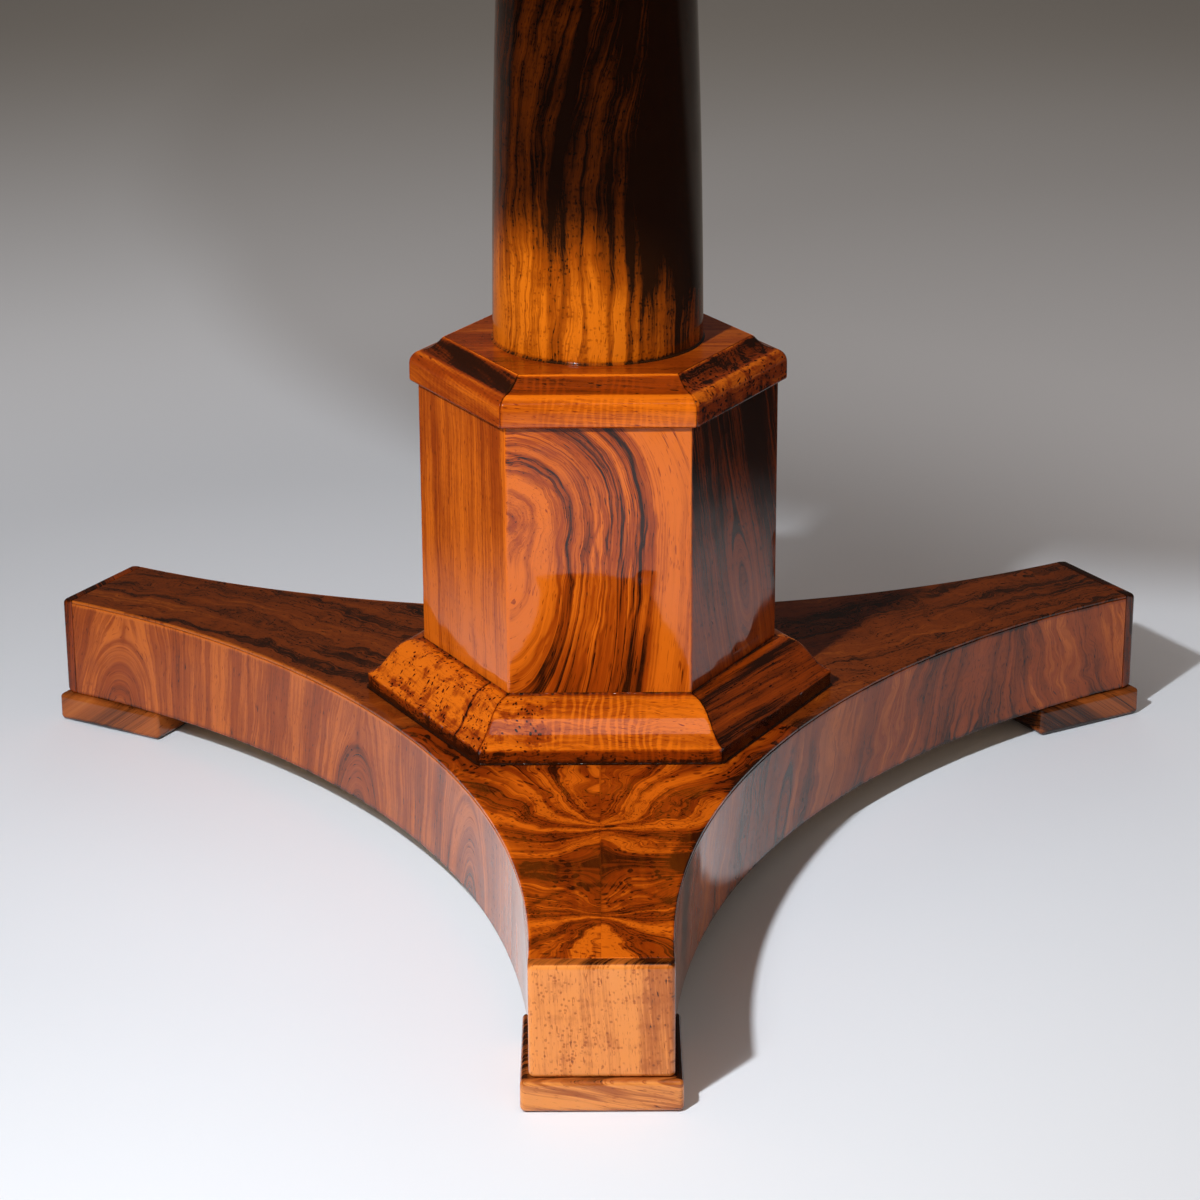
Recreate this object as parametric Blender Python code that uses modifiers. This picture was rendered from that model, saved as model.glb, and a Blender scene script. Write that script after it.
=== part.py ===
"""Round salon table on a column, with a hexagonal pedestal and a three-armed plinth.

Metres, +Z up. The origin is on the floor, under the axis of the column, and one arm of the plinth points
along -Y. The top tilts about two pins near the +Y edge of the block that the column carries.
"""

import math

import bmesh
import bpy
from mathutils import Vector

# Clearances between pieces that touch, and the thickness of the sawn veneer
GAP = 0.0003
RUNNING_GAP = 0.0015
VENEER = 0.002

# Feet
FOOT_HEIGHT = 0.0186
FOOT_LENGTH = 0.083
FOOT_SIDE_OVERHANG = 0.0048
FOOT_END_OVERHANG = 0.0032
FOOT_ROUNDING = 0.003

# Plinth: arms that meet on the axis, with one circular hollow between each two
ARMS = 3
ARM_REACH = 0.400
ARM_END_WIDTH = 0.079
WAIST_REACH = 0.142
PLINTH_HEIGHT = 0.068
END_PANEL_THICKNESS = 0.008
END_PANEL_ROUNDING = 0.0022

# Pedestal: a hexagonal box of mitred boards, with a moulding at its foot and a moulded cap
SIDES = 6
PEDESTAL_APOTHEM = 0.0965
PEDESTAL_HEIGHT = 0.2032
PEDESTAL_BOARD = 0.018
BASE_MOULDING_HEIGHT = 0.033
BASE_MOULDING_PROJECTION = 0.0315
BASE_FASCIA_HEIGHT = 0.0095
CAP_HEIGHT = 0.028
CAP_PROJECTION = 0.005
CAP_MOULDING_DEPTH = 0.0145
CAP_HOLLOW_DROP = 0.009
CAP_FASCIA_HEIGHT = 0.011
CAP_EDGE_ROUNDING = 0.0015

# Column: a turned core with entasis, under a wrapped veneer, with a tenon at each end
COLUMN_FOOT_RADIUS = 0.0648
COLUMN_NECK_RADIUS = 0.0516
STRAIGHT_TAPER_SHARE = 0.18
LOWER_TENON_RADIUS = 0.030
LOWER_TENON_INSET = 0.004
UPPER_TENON_RADIUS = 0.026
UPPER_TENON_INSET = 0.002

# Top: a round core with a veneered face and a rounded edge band, and an apron set back under it
TABLE_HEIGHT = 0.770
TOP_RADIUS = 0.530
TOP_CORE_THICKNESS = 0.024
EDGE_BAND_WIDTH = 0.012
EDGE_BAND_ROUNDING = 0.007
APRON_SETBACK = 0.050
APRON_HEIGHT = 0.070
APRON_THICKNESS = 0.022
APRON_QUARTERS = 4

# Tilt mechanism: a block on the column that turns between two bearers, on two pins
BLOCK_WIDTH = 0.360
BLOCK_THICKNESS = 0.042
BLOCK_FRONT_REACH = 0.165
PIVOT_REACH = 0.150
PIN_RADIUS = 0.008
PIN_DEPTH = 0.040
BEARER_WIDTH = 0.040
BEARER_HEIGHT = 0.048
BEARER_END_HEIGHT = 0.026
BEARER_TAPER_LENGTH = 0.090
BEARER_END_CLEARANCE = 0.012

# Bolt that locks the top to the block
BOLT_WIDTH = 0.014
BOLT_HEIGHT = 0.008
BOLT_TRAVEL = 0.018
BOLT_TAIL = 0.016
GUIDE_WALL = 0.002
GUIDE_LENGTH = 0.045
GUIDE_FLANGE = 0.013
GUIDE_SETBACK = 0.004
STRIKE_THICKNESS = 0.0015
STRIKE_BORDER = 0.009
MORTISE_DEPTH = 0.022
KNOB_RADIUS = 0.006
KNOB_LENGTH = 0.014

# Fineness of round shapes
ROUND_STEPS = 96
COLUMN_STEPS = 48
PIN_STEPS = 24
ARC_STEPS = 14
PROFILE_STEPS = 8
COLUMN_RINGS = 10

# Heights and places that follow from the sizes above
PLINTH_BOTTOM = FOOT_HEIGHT + GAP
PLINTH_TOP = PLINTH_BOTTOM + PLINTH_HEIGHT
PEDESTAL_BOTTOM = PLINTH_TOP + GAP
PEDESTAL_TOP = PEDESTAL_BOTTOM + PEDESTAL_HEIGHT
CAP_BOTTOM = PEDESTAL_TOP + GAP
CAP_TOP = CAP_BOTTOM + CAP_HEIGHT
COLUMN_BOTTOM = CAP_TOP + GAP
CORE_TOP = TABLE_HEIGHT - VENEER - GAP
UNDERSIDE = CORE_TOP - TOP_CORE_THICKNESS
BLOCK_TOP = UNDERSIDE - GAP
BLOCK_BOTTOM = BLOCK_TOP - BLOCK_THICKNESS
COLUMN_TOP = BLOCK_BOTTOM - GAP
COLUMN_HEIGHT = COLUMN_TOP - COLUMN_BOTTOM
PIVOT_HEIGHT = BLOCK_TOP - BLOCK_THICKNESS / 2
APRON_RADIUS = TOP_RADIUS - APRON_SETBACK
BORE_RADIUS = (PIN_RADIUS + GAP) / math.cos(math.pi / PIN_STEPS)
BEARER_CENTRE = BLOCK_WIDTH / 2 + RUNNING_GAP + BEARER_WIDTH / 2
BOLT_CENTRE_HEIGHT = UNDERSIDE - GAP - GUIDE_WALL - GAP - BOLT_HEIGHT / 2
STRIKE_FACE = -BLOCK_FRONT_REACH - GAP - STRIKE_THICKNESS
BOLT_NOSE = STRIKE_FACE - GAP
GUIDE_FRONT = BOLT_NOSE - GUIDE_SETBACK
GUIDE_BACK = GUIDE_FRONT - GUIDE_LENGTH

ARM_ANGLES = {"front": -90, "right": 30, "left": 150}
HOLLOW_ANGLES = {"front_right": -30, "back": 90, "front_left": 210}
FACE_ANGLES = {
    "front": -90,
    "front_right": -30,
    "back_right": 30,
    "back": 90,
    "back_left": 150,
    "front_left": 210,
}

HALF_ARM_STEP = math.pi / ARMS
HALF_SIDE_STEP = math.pi / SIDES


# Circle of the hollow sides. Seen from the axis its centre lies midway between two arms, and it passes
# through the corners of both arm ends and through the waist.
def hollow_circle():
    half_width = ARM_END_WIDTH / 2
    along = Vector((math.cos(HALF_ARM_STEP), math.sin(HALF_ARM_STEP)))
    across = Vector((along.y, -along.x))
    corner = along * ARM_REACH + across * half_width
    distance = (corner.length_squared - WAIST_REACH**2) / (2 * (corner.x - WAIST_REACH))
    return distance, distance - WAIST_REACH


HOLLOW_DISTANCE, HOLLOW_RADIUS = hollow_circle()
VENEER_REACH = ARM_REACH - END_PANEL_THICKNESS - GAP


def hollow_end_angle(radius, reach):
    """Angle, counted from the waist, at which a circle of this radius comes to the given reach of an arm."""
    lean = math.pi / 2 - HALF_ARM_STEP
    return lean + math.asin((reach - HOLLOW_DISTANCE * math.cos(HALF_ARM_STEP)) / radius)


def hollow_point(radius, angle):
    """Point on that circle, with +X from the axis through the waist."""
    return Vector((HOLLOW_DISTANCE - radius * math.cos(angle), radius * math.sin(angle)))


def spread(first, last, steps):
    return [first + (last - first) * i / steps for i in range(steps + 1)]


def turned_by(point, angle):
    return Vector((
        point.x * math.cos(angle) - point.y * math.sin(angle),
        point.x * math.sin(angle) + point.y * math.cos(angle),
    ))


def circle_points(radius, steps):
    return [
        Vector((radius * math.cos(math.tau * i / steps), radius * math.sin(math.tau * i / steps)))
        for i in range(steps)
    ]


def bezier(start, lead, follow, end, steps):
    """Points of one cubic curve, without its last point."""
    points = []
    for i in range(steps):
        t = i / steps
        points.append((
            (1 - t) ** 3 * Vector(start)
            + 3 * t * (1 - t) ** 2 * Vector(lead)
            + 3 * t**2 * (1 - t) * Vector(follow)
            + t**3 * Vector(end)
        ))
    return points


# Scene, collections and materials
def clear_scene():
    for obj in list(bpy.data.objects):
        bpy.data.objects.remove(obj, do_unlink=True)


def new_collection(name):
    collection = bpy.data.collections.new(name)
    bpy.context.scene.collection.children.link(collection)
    return collection


def new_material(name, colour, roughness, metallic=0.0):
    material = bpy.data.materials.new(name)
    material.use_nodes = True
    shader = material.node_tree.nodes["Principled BSDF"]
    shader.inputs["Base Color"].default_value = (*colour, 1.0)
    shader.inputs["Roughness"].default_value = roughness
    shader.inputs["Metallic"].default_value = metallic
    return material


clear_scene()
TABLE = new_collection("salon_table")
CUTTERS = new_collection("cutters")
WALNUT = new_material("walnut", (0.30, 0.10, 0.025), 0.25)
WALNUT_DARK = new_material("walnut_dark", (0.17, 0.06, 0.02), 0.30)
SOFTWOOD = new_material("softwood", (0.55, 0.36, 0.18), 0.70)
BEECH = new_material("beech", (0.45, 0.25, 0.12), 0.60)
IRON = new_material("iron", (0.12, 0.11, 0.10), 0.55, 1.0)
BRASS = new_material("brass", (0.62, 0.42, 0.15), 0.40, 1.0)


def new_empty(name, location):
    empty = bpy.data.objects.new(name, None)
    empty.location = location
    TABLE.objects.link(empty)
    return empty


BASE = new_empty("base", (0, 0, 0))
TILTING_TOP = new_empty("tilting_top", (0, PIVOT_REACH, PIVOT_HEIGHT))
BOLT_CARRIER = new_empty("bolt_carrier", (0, BOLT_NOSE, BOLT_CENTRE_HEIGHT))
BOLT_CARRIER.location -= TILTING_TOP.location
BOLT_CARRIER.parent = TILTING_TOP
bpy.context.view_layer.update()


def add_piece(obj, material, parent, collection=TABLE):
    """Gives an object that is already in place its material, its collection and its parent."""
    for holder in list(obj.users_collection):
        holder.objects.unlink(obj)
    collection.objects.link(obj)
    obj.data.materials.clear()
    obj.data.materials.append(material)
    if parent is not None:
        bpy.context.view_layer.update()
        obj.parent = parent
        obj.matrix_parent_inverse = parent.matrix_world.inverted()
    return obj


# Ways of making a piece
def outline_curve(name, loops, thickness):
    """Flat curve of one outline and its holes, centred on its own plane and this thick."""
    curve = bpy.data.curves.new(name, "CURVE")
    curve.dimensions = "2D"
    curve.fill_mode = "BOTH"
    curve.extrude = thickness / 2
    for loop in loops:
        spline = curve.splines.new("POLY")
        spline.points.add(len(loop) - 1)
        for point, place in zip(spline.points, loop):
            point.co = (place[0], place[1], 0, 1)
        spline.use_cyclic_u = True
    return bpy.data.objects.new(name, curve)


def flat_piece(name, loops, bottom, top, angle, material, parent):
    """Outline in the plan, standing from one height to another and turned about the axis."""
    obj = outline_curve(name, loops, top - bottom)
    obj.location.z = (bottom + top) / 2
    obj.rotation_euler.z = math.radians(angle)
    return add_piece(obj, material, parent)


def box_object(name, low, high, rounding=0.0):
    """Box between two corners, with its edges rounded where a radius is given."""
    low, high = Vector(low), Vector(high)
    bpy.ops.mesh.primitive_cube_add(size=1)
    obj = bpy.context.object
    obj.name = name
    obj.data.name = name
    for vertex in obj.data.vertices:
        for axis in range(3):
            vertex.co[axis] *= high[axis] - low[axis]
    obj.location = (low + high) / 2
    if rounding:
        bevel = obj.modifiers.new("rounding", "BEVEL")
        bevel.width = rounding
        bevel.segments = 3
    return obj


def turned_object(name, profile, steps):
    """Profile of (radius, height) points turned about the axis. A closed profile makes a ring."""
    mesh = bpy.data.meshes.new(name)
    shape = bmesh.new()
    points = [shape.verts.new((radius, 0, height)) for radius, height in profile]
    closed = min(radius for radius, _ in profile) > 0
    for first, second in zip(points, points[1:]):
        shape.edges.new((first, second))
    if closed:
        shape.edges.new((points[-1], points[0]))
    shape.to_mesh(mesh)
    shape.free()
    obj = bpy.data.objects.new(name, mesh)
    screw = obj.modifiers.new("turning", "SCREW")
    screw.steps = steps
    screw.render_steps = steps
    screw.use_merge_vertices = True
    screw.merge_threshold = 0.00001
    screw.use_smooth_shade = True
    return obj


def mitred_bar(name, section, angle, material):
    """Strip of a hexagonal frame: a section of (apothem, height) points run along one side and mitred."""
    mesh = bpy.data.meshes.new(name)
    shape = bmesh.new()
    reach = 2 * max(point[0] for point in section)
    loop = [shape.verts.new((point[0], -reach, point[1])) for point in section]
    face = shape.faces.new(loop)
    run = bmesh.ops.extrude_face_region(shape, geom=[face])
    moved = [item for item in run["geom"] if isinstance(item, bmesh.types.BMVert)]
    bmesh.ops.translate(shape, verts=moved, vec=(0, 2 * reach, 0))
    for side in (-1, 1):
        normal = Vector((-math.sin(HALF_SIDE_STEP), side * math.cos(HALF_SIDE_STEP), 0))
        cut = bmesh.ops.bisect_plane(
            shape,
            geom=shape.verts[:] + shape.edges[:] + shape.faces[:],
            plane_co=-normal * GAP / 2,
            plane_no=normal,
            clear_outer=True,
        )
        rim = [item for item in cut["geom_cut"] if isinstance(item, bmesh.types.BMEdge)]
        bmesh.ops.contextual_create(shape, geom=rim)
    bmesh.ops.recalc_face_normals(shape, faces=shape.faces)
    shape.to_mesh(mesh)
    shape.free()
    obj = bpy.data.objects.new(name, mesh)
    obj.rotation_euler.z = math.radians(angle)
    return add_piece(obj, material, BASE)


def as_mesh(obj):
    """The same object as a plain closed mesh, for a piece that is cut or joined."""
    TABLE.objects.link(obj)
    bpy.context.view_layer.update()
    evaluated = obj.evaluated_get(bpy.context.evaluated_depsgraph_get())
    mesh = bpy.data.meshes.new_from_object(evaluated)
    shape = bmesh.new()
    shape.from_mesh(mesh)
    bmesh.ops.remove_doubles(shape, verts=shape.verts, dist=GAP / 100)
    bmesh.ops.recalc_face_normals(shape, faces=shape.faces)
    shape.to_mesh(mesh)
    shape.free()
    name = obj.name
    place = obj.matrix_world.copy()
    bpy.data.objects.remove(obj, do_unlink=True)
    made = bpy.data.objects.new(name, mesh)
    made.matrix_world = place
    return made


def use_cutter(piece, cutter, operation="DIFFERENCE"):
    """Cuts a piece with a hidden shape, or joins the shape to it."""
    for holder in list(cutter.users_collection):
        holder.objects.unlink(cutter)
    CUTTERS.objects.link(cutter)
    cutter.hide_render = True
    cutter.display_type = "WIRE"
    boolean = piece.modifiers.new(cutter.name, "BOOLEAN")
    boolean.object = cutter
    boolean.operation = operation


def cylinder_object(name, radius, low, high, axis, steps):
    """Round bar from one point of an axis ("X" or "Z") to another."""
    bpy.ops.mesh.primitive_cylinder_add(vertices=steps, radius=radius, depth=(high - low).length)
    obj = bpy.context.object
    obj.name = name
    obj.data.name = name
    obj.location = (low + high) / 2
    if axis == "X":
        obj.rotation_euler.y = math.pi / 2
    obj.data.shade_smooth()
    obj.data.set_sharp_from_angle(angle=math.radians(40))
    return obj


# Plinth
def arm_outline(radius, hub_radius):
    """Plan of one arm along +X: a third of the hub, one hollow side, the end and the other hollow side."""
    start = math.asin(GAP / 2 / radius)
    angles = spread(start, hollow_end_angle(radius, VENEER_REACH), ARC_STEPS)
    side = [hollow_point(radius, angle) for angle in angles]
    left = [turned_by(Vector((point.x, -point.y)), HALF_ARM_STEP) for point in side]
    right = [Vector((point.x, -point.y)) for point in reversed(left)]
    hub_lean = HALF_ARM_STEP - math.asin(GAP / 2 / hub_radius)
    hub = [
        Vector((hub_radius * math.cos(angle), hub_radius * math.sin(angle)))
        for angle in spread(-hub_lean, hub_lean, PIN_STEPS // ARMS)
    ]
    return hub + left + right


def side_veneer_outline():
    """Plan of one curved veneer, with +X from the axis through the waist."""
    outer_end = hollow_end_angle(HOLLOW_RADIUS, VENEER_REACH)
    inner_radius = HOLLOW_RADIUS + VENEER
    inner_end = hollow_end_angle(inner_radius, VENEER_REACH)
    outer = [hollow_point(HOLLOW_RADIUS, a) for a in spread(-outer_end, outer_end, 2 * ARC_STEPS)]
    inner = [hollow_point(inner_radius, a) for a in spread(inner_end, -inner_end, 2 * ARC_STEPS)]
    return outer + inner


def build_plinth():
    core_top = PLINTH_TOP - VENEER - GAP
    hub_radius = (LOWER_TENON_RADIUS + GAP) / math.cos(math.pi / COLUMN_STEPS) + GAP
    core = arm_outline(HOLLOW_RADIUS + VENEER + GAP, hub_radius)
    leaf = arm_outline(HOLLOW_RADIUS, hub_radius)
    half_width = ARM_END_WIDTH / 2
    for side, angle in ARM_ANGLES.items():
        flat_piece(f"plinth_arm_{side}", [core], PLINTH_BOTTOM, core_top, angle, SOFTWOOD, BASE)
        flat_piece(
            f"plinth_top_veneer_{side}", [leaf], PLINTH_TOP - VENEER, PLINTH_TOP, angle, WALNUT, BASE
        )
        panel = box_object(
            f"plinth_end_panel_{side}",
            (ARM_REACH - END_PANEL_THICKNESS, -half_width, PLINTH_BOTTOM),
            (ARM_REACH, half_width, PLINTH_TOP),
            END_PANEL_ROUNDING,
        )
        foot_end = ARM_REACH + FOOT_END_OVERHANG
        foot_half_width = half_width + FOOT_SIDE_OVERHANG
        foot = box_object(
            f"foot_{side}",
            (foot_end - FOOT_LENGTH, -foot_half_width, 0),
            (foot_end, foot_half_width, FOOT_HEIGHT),
            FOOT_ROUNDING,
        )
        for piece, material in ((panel, WALNUT), (foot, WALNUT_DARK)):
            turn = math.radians(angle)
            reach = piece.location.x
            piece.location.x = reach * math.cos(turn)
            piece.location.y = reach * math.sin(turn)
            piece.rotation_euler.z = turn
            add_piece(piece, material, BASE)
    for side, angle in HOLLOW_ANGLES.items():
        flat_piece(
            f"plinth_side_veneer_{side}",
            [side_veneer_outline()],
            PLINTH_BOTTOM,
            core_top,
            angle,
            WALNUT,
            BASE,
        )


# Pedestal
def base_moulding_section():
    """Ogee over a fascia: a round shoulder at the pedestal that runs out in a hollow."""
    inner = PEDESTAL_APOTHEM + GAP
    outer = PEDESTAL_APOTHEM + BASE_MOULDING_PROJECTION
    bottom = PLINTH_TOP + GAP
    top = bottom + BASE_MOULDING_HEIGHT
    fascia = bottom + BASE_FASCIA_HEIGHT
    shoulder = inner + 0.45 * (outer - inner)
    hollow = inner + 0.52 * (outer - inner)
    hollow_height = fascia + 0.33 * (top - fascia)
    ogee = bezier((inner, top), (shoulder, top), (hollow, hollow_height), (outer, fascia), PROFILE_STEPS)
    return ogee + [Vector((outer, fascia)), Vector((outer, bottom)), Vector((inner, bottom))]


def cap_moulding_section():
    """Hollow that falls from a ridge to a round nose, over a plain fascia."""
    inner = PEDESTAL_APOTHEM - CAP_MOULDING_DEPTH
    outer = PEDESTAL_APOTHEM + CAP_PROJECTION
    nose = CAP_BOTTOM + CAP_FASCIA_HEIGHT
    lip = Vector((outer - 0.33 * (outer - inner), CAP_TOP - CAP_HOLLOW_DROP))
    hollow = bezier(
        (inner, CAP_TOP),
        (inner + 0.23 * (lip.x - inner), CAP_TOP - 0.11 * CAP_HOLLOW_DROP),
        (inner + 0.38 * (lip.x - inner), lip.y + 0.17 * CAP_HOLLOW_DROP),
        lip,
        PROFILE_STEPS,
    )
    round_nose = bezier(
        lip,
        (lip.x + 0.62 * (outer - lip.x), lip.y - 0.10 * (lip.y - nose)),
        (outer, nose + 0.50 * (lip.y - nose)),
        (outer, nose),
        PROFILE_STEPS // 2,
    )
    underside = [
        Vector((outer, nose)),
        Vector((outer, CAP_BOTTOM + CAP_EDGE_ROUNDING)),
        Vector((outer - CAP_EDGE_ROUNDING, CAP_BOTTOM)),
        Vector((inner, CAP_BOTTOM)),
    ]
    return hollow + round_nose + underside


def upright_section(inner, outer):
    return [
        Vector((inner, PEDESTAL_TOP)),
        Vector((outer, PEDESTAL_TOP)),
        Vector((outer, PEDESTAL_BOTTOM)),
        Vector((inner, PEDESTAL_BOTTOM)),
    ]


def build_pedestal():
    veneer = upright_section(PEDESTAL_APOTHEM - VENEER, PEDESTAL_APOTHEM)
    board_face = PEDESTAL_APOTHEM - VENEER - GAP
    board = upright_section(board_face - PEDESTAL_BOARD, board_face)
    for side, angle in FACE_ANGLES.items():
        mitred_bar(f"pedestal_board_{side}", board, angle, SOFTWOOD)
        mitred_bar(f"pedestal_veneer_{side}", veneer, angle, WALNUT)
        mitred_bar(f"base_moulding_{side}", base_moulding_section(), angle, WALNUT)
        mitred_bar(f"cap_moulding_{side}", cap_moulding_section(), angle, WALNUT)
    corner_radius = (PEDESTAL_APOTHEM - CAP_MOULDING_DEPTH - GAP) / math.cos(HALF_SIDE_STEP)
    hole_radius = (LOWER_TENON_RADIUS + GAP) / math.cos(math.pi / COLUMN_STEPS)
    flat_piece(
        "cap_board",
        [circle_points(corner_radius, SIDES), circle_points(hole_radius, COLUMN_STEPS)],
        CAP_BOTTOM,
        CAP_TOP,
        0,
        WALNUT,
        BASE,
    )


# Column
def column_radius(height):
    """Radius of the shaft at a height above its foot, with entasis."""
    share = height / COLUMN_HEIGHT
    taper = STRAIGHT_TAPER_SHARE * share + (1 - STRAIGHT_TAPER_SHARE) * share**2
    return COLUMN_FOOT_RADIUS - (COLUMN_FOOT_RADIUS - COLUMN_NECK_RADIUS) * taper


def build_column():
    heights = spread(COLUMN_HEIGHT, 0, COLUMN_RINGS)
    outer = [(column_radius(h), COLUMN_BOTTOM + h) for h in heights]
    inner = [(radius - VENEER, z) for radius, z in reversed(outer)]
    shaft = [(radius - VENEER - GAP, z) for radius, z in outer]
    upper_end = BLOCK_TOP - UPPER_TENON_INSET
    lower_end = PLINTH_BOTTOM + LOWER_TENON_INSET
    core = (
        [(0, upper_end), (UPPER_TENON_RADIUS, upper_end), (UPPER_TENON_RADIUS, COLUMN_TOP)]
        + shaft
        + [(LOWER_TENON_RADIUS, COLUMN_BOTTOM), (LOWER_TENON_RADIUS, lower_end), (0, lower_end)]
    )
    add_piece(turned_object("column_core", core, COLUMN_STEPS), SOFTWOOD, BASE)
    add_piece(turned_object("column_veneer", outer + inner, COLUMN_STEPS), WALNUT, BASE)


# Top and apron
def build_top():
    band_inner = TOP_RADIUS - EDGE_BAND_WIDTH
    core = [(0, CORE_TOP), (band_inner - GAP, CORE_TOP), (band_inner - GAP, UNDERSIDE), (0, UNDERSIDE)]
    add_piece(turned_object("top_core", core, ROUND_STEPS), SOFTWOOD, TILTING_TOP)
    face_radius = TOP_RADIUS - EDGE_BAND_ROUNDING
    face = [
        (0, TABLE_HEIGHT),
        (face_radius, TABLE_HEIGHT),
        (face_radius, TABLE_HEIGHT - VENEER),
        (0, TABLE_HEIGHT - VENEER),
    ]
    add_piece(turned_object("top_veneer", face, ROUND_STEPS), WALNUT, TILTING_TOP)
    quarter = spread(math.pi / 2, 0, PROFILE_STEPS // 2)
    upper = [
        (
            face_radius + EDGE_BAND_ROUNDING * math.cos(angle),
            CORE_TOP - EDGE_BAND_ROUNDING * (1 - math.sin(angle)),
        )
        for angle in quarter
    ]
    lower = [(radius, UNDERSIDE + CORE_TOP - z) for radius, z in reversed(upper)]
    ring = [(band_inner, CORE_TOP)] + upper + lower + [(band_inner, UNDERSIDE)]
    add_piece(turned_object("top_edge_band", ring, ROUND_STEPS), WALNUT, TILTING_TOP)


def build_apron():
    top = UNDERSIDE - GAP
    bottom = top - APRON_HEIGHT
    outer = APRON_RADIUS - VENEER - GAP
    inner = outer - APRON_THICKNESS
    steps = ROUND_STEPS // APRON_QUARTERS
    trim = GAP / 2 / inner
    angles = spread(0, math.tau / APRON_QUARTERS, steps)
    angles[0] += trim
    angles[-1] -= trim
    arc = [Vector((math.cos(angle), math.sin(angle))) for angle in angles]
    quarter = [point * outer for point in arc] + [point * inner for point in reversed(arc)]
    for number in range(APRON_QUARTERS):
        turn = 360 / APRON_QUARTERS * number
        flat_piece(f"apron_quarter_{number + 1}", [quarter], bottom, top, turn, SOFTWOOD, TILTING_TOP)
    band = [
        (APRON_RADIUS, top),
        (APRON_RADIUS, bottom),
        (APRON_RADIUS - VENEER, bottom),
        (APRON_RADIUS - VENEER, top),
    ]
    add_piece(turned_object("apron_veneer", band, ROUND_STEPS), WALNUT, TILTING_TOP)


# Tilt mechanism
def side_view_object(name, loops, width, centre):
    """Outline of (Y, Z) points that is this wide along X, about the given X."""
    obj = outline_curve(name, loops, width)
    obj.location.x = centre
    obj.rotation_euler = (math.pi / 2, 0, math.pi / 2)
    return obj


def block_outline():
    """Plain at the front, and rounded about the pins at the back, so that the top can turn past it."""
    nose = BLOCK_THICKNESS / 2
    rounding = [
        Vector((PIVOT_REACH + nose * math.cos(angle), PIVOT_HEIGHT + nose * math.sin(angle)))
        for angle in spread(-math.pi / 2, math.pi / 2, PIN_STEPS // 2)
    ]
    front = -BLOCK_FRONT_REACH
    return rounding + [Vector((front, BLOCK_TOP)), Vector((front, BLOCK_BOTTOM))]


def build_block():
    block = as_mesh(side_view_object("tilt_block", [block_outline()], BLOCK_WIDTH, 0))
    add_piece(block, BEECH, BASE)
    tenon_bore = (UPPER_TENON_RADIUS + GAP) / math.cos(math.pi / COLUMN_STEPS)
    low = Vector((0, 0, BLOCK_BOTTOM - BLOCK_THICKNESS))
    high = Vector((0, 0, BLOCK_TOP + BLOCK_THICKNESS))
    use_cutter(block, cylinder_object("tenon_bore", tenon_bore, low, high, "Z", COLUMN_STEPS))
    mortise = box_object(
        "bolt_mortise",
        (-BOLT_WIDTH / 2 - GAP, STRIKE_FACE, BOLT_CENTRE_HEIGHT - BOLT_HEIGHT / 2 - GAP),
        (BOLT_WIDTH / 2 + GAP, MORTISE_DEPTH - BLOCK_FRONT_REACH, BOLT_CENTRE_HEIGHT + BOLT_HEIGHT / 2 + GAP),
    )
    use_cutter(block, mortise)
    for side, sign in (("left", -1), ("right", 1)):
        depth = BLOCK_WIDTH / 2 - PIN_DEPTH
        outside = BEARER_CENTRE + BEARER_WIDTH / 2
        inner = Vector((sign * depth, PIVOT_REACH, PIVOT_HEIGHT))
        outer = Vector((sign * outside, PIVOT_REACH, PIVOT_HEIGHT))
        bore_end = inner - Vector((sign * GAP, 0, 0))
        use_cutter(block, cylinder_object(f"pin_bore_{side}", BORE_RADIUS, bore_end, outer, "X", PIN_STEPS))
        pin = cylinder_object(f"pivot_pin_{side}", PIN_RADIUS, inner, outer, "X", PIN_STEPS)
        add_piece(pin, IRON, BASE)


def build_bearers():
    top = UNDERSIDE - GAP
    inside = APRON_RADIUS - VENEER - GAP - APRON_THICKNESS - BEARER_END_CLEARANCE
    reach = math.sqrt(inside**2 - (BEARER_CENTRE + BEARER_WIDTH / 2) ** 2)
    belly = reach - BEARER_TAPER_LENGTH
    outline = [
        Vector((reach, top)),
        Vector((-reach, top)),
        Vector((-reach, top - BEARER_END_HEIGHT)),
        Vector((-belly, top - BEARER_HEIGHT)),
        Vector((belly, top - BEARER_HEIGHT)),
        Vector((reach, top - BEARER_END_HEIGHT)),
    ]
    pivot = Vector((PIVOT_REACH, PIVOT_HEIGHT))
    bore = [pivot + point for point in circle_points(BORE_RADIUS, PIN_STEPS)]
    for side, sign in (("left", -1), ("right", 1)):
        bearer = side_view_object(f"bearer_{side}", [outline, bore], BEARER_WIDTH, sign * BEARER_CENTRE)
        add_piece(bearer, BEECH, TILTING_TOP)


# Bolt
def rectangle(half_width, low, high):
    return [
        Vector((-half_width, low)),
        Vector((half_width, low)),
        Vector((half_width, high)),
        Vector((-half_width, high)),
    ]


def end_view_object(name, loops, front, back):
    """Outline of (X, Z) points that runs along Y from one place to another."""
    obj = outline_curve(name, loops, abs(front - back))
    obj.location.y = (front + back) / 2
    obj.rotation_euler.x = math.pi / 2
    return obj


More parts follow.
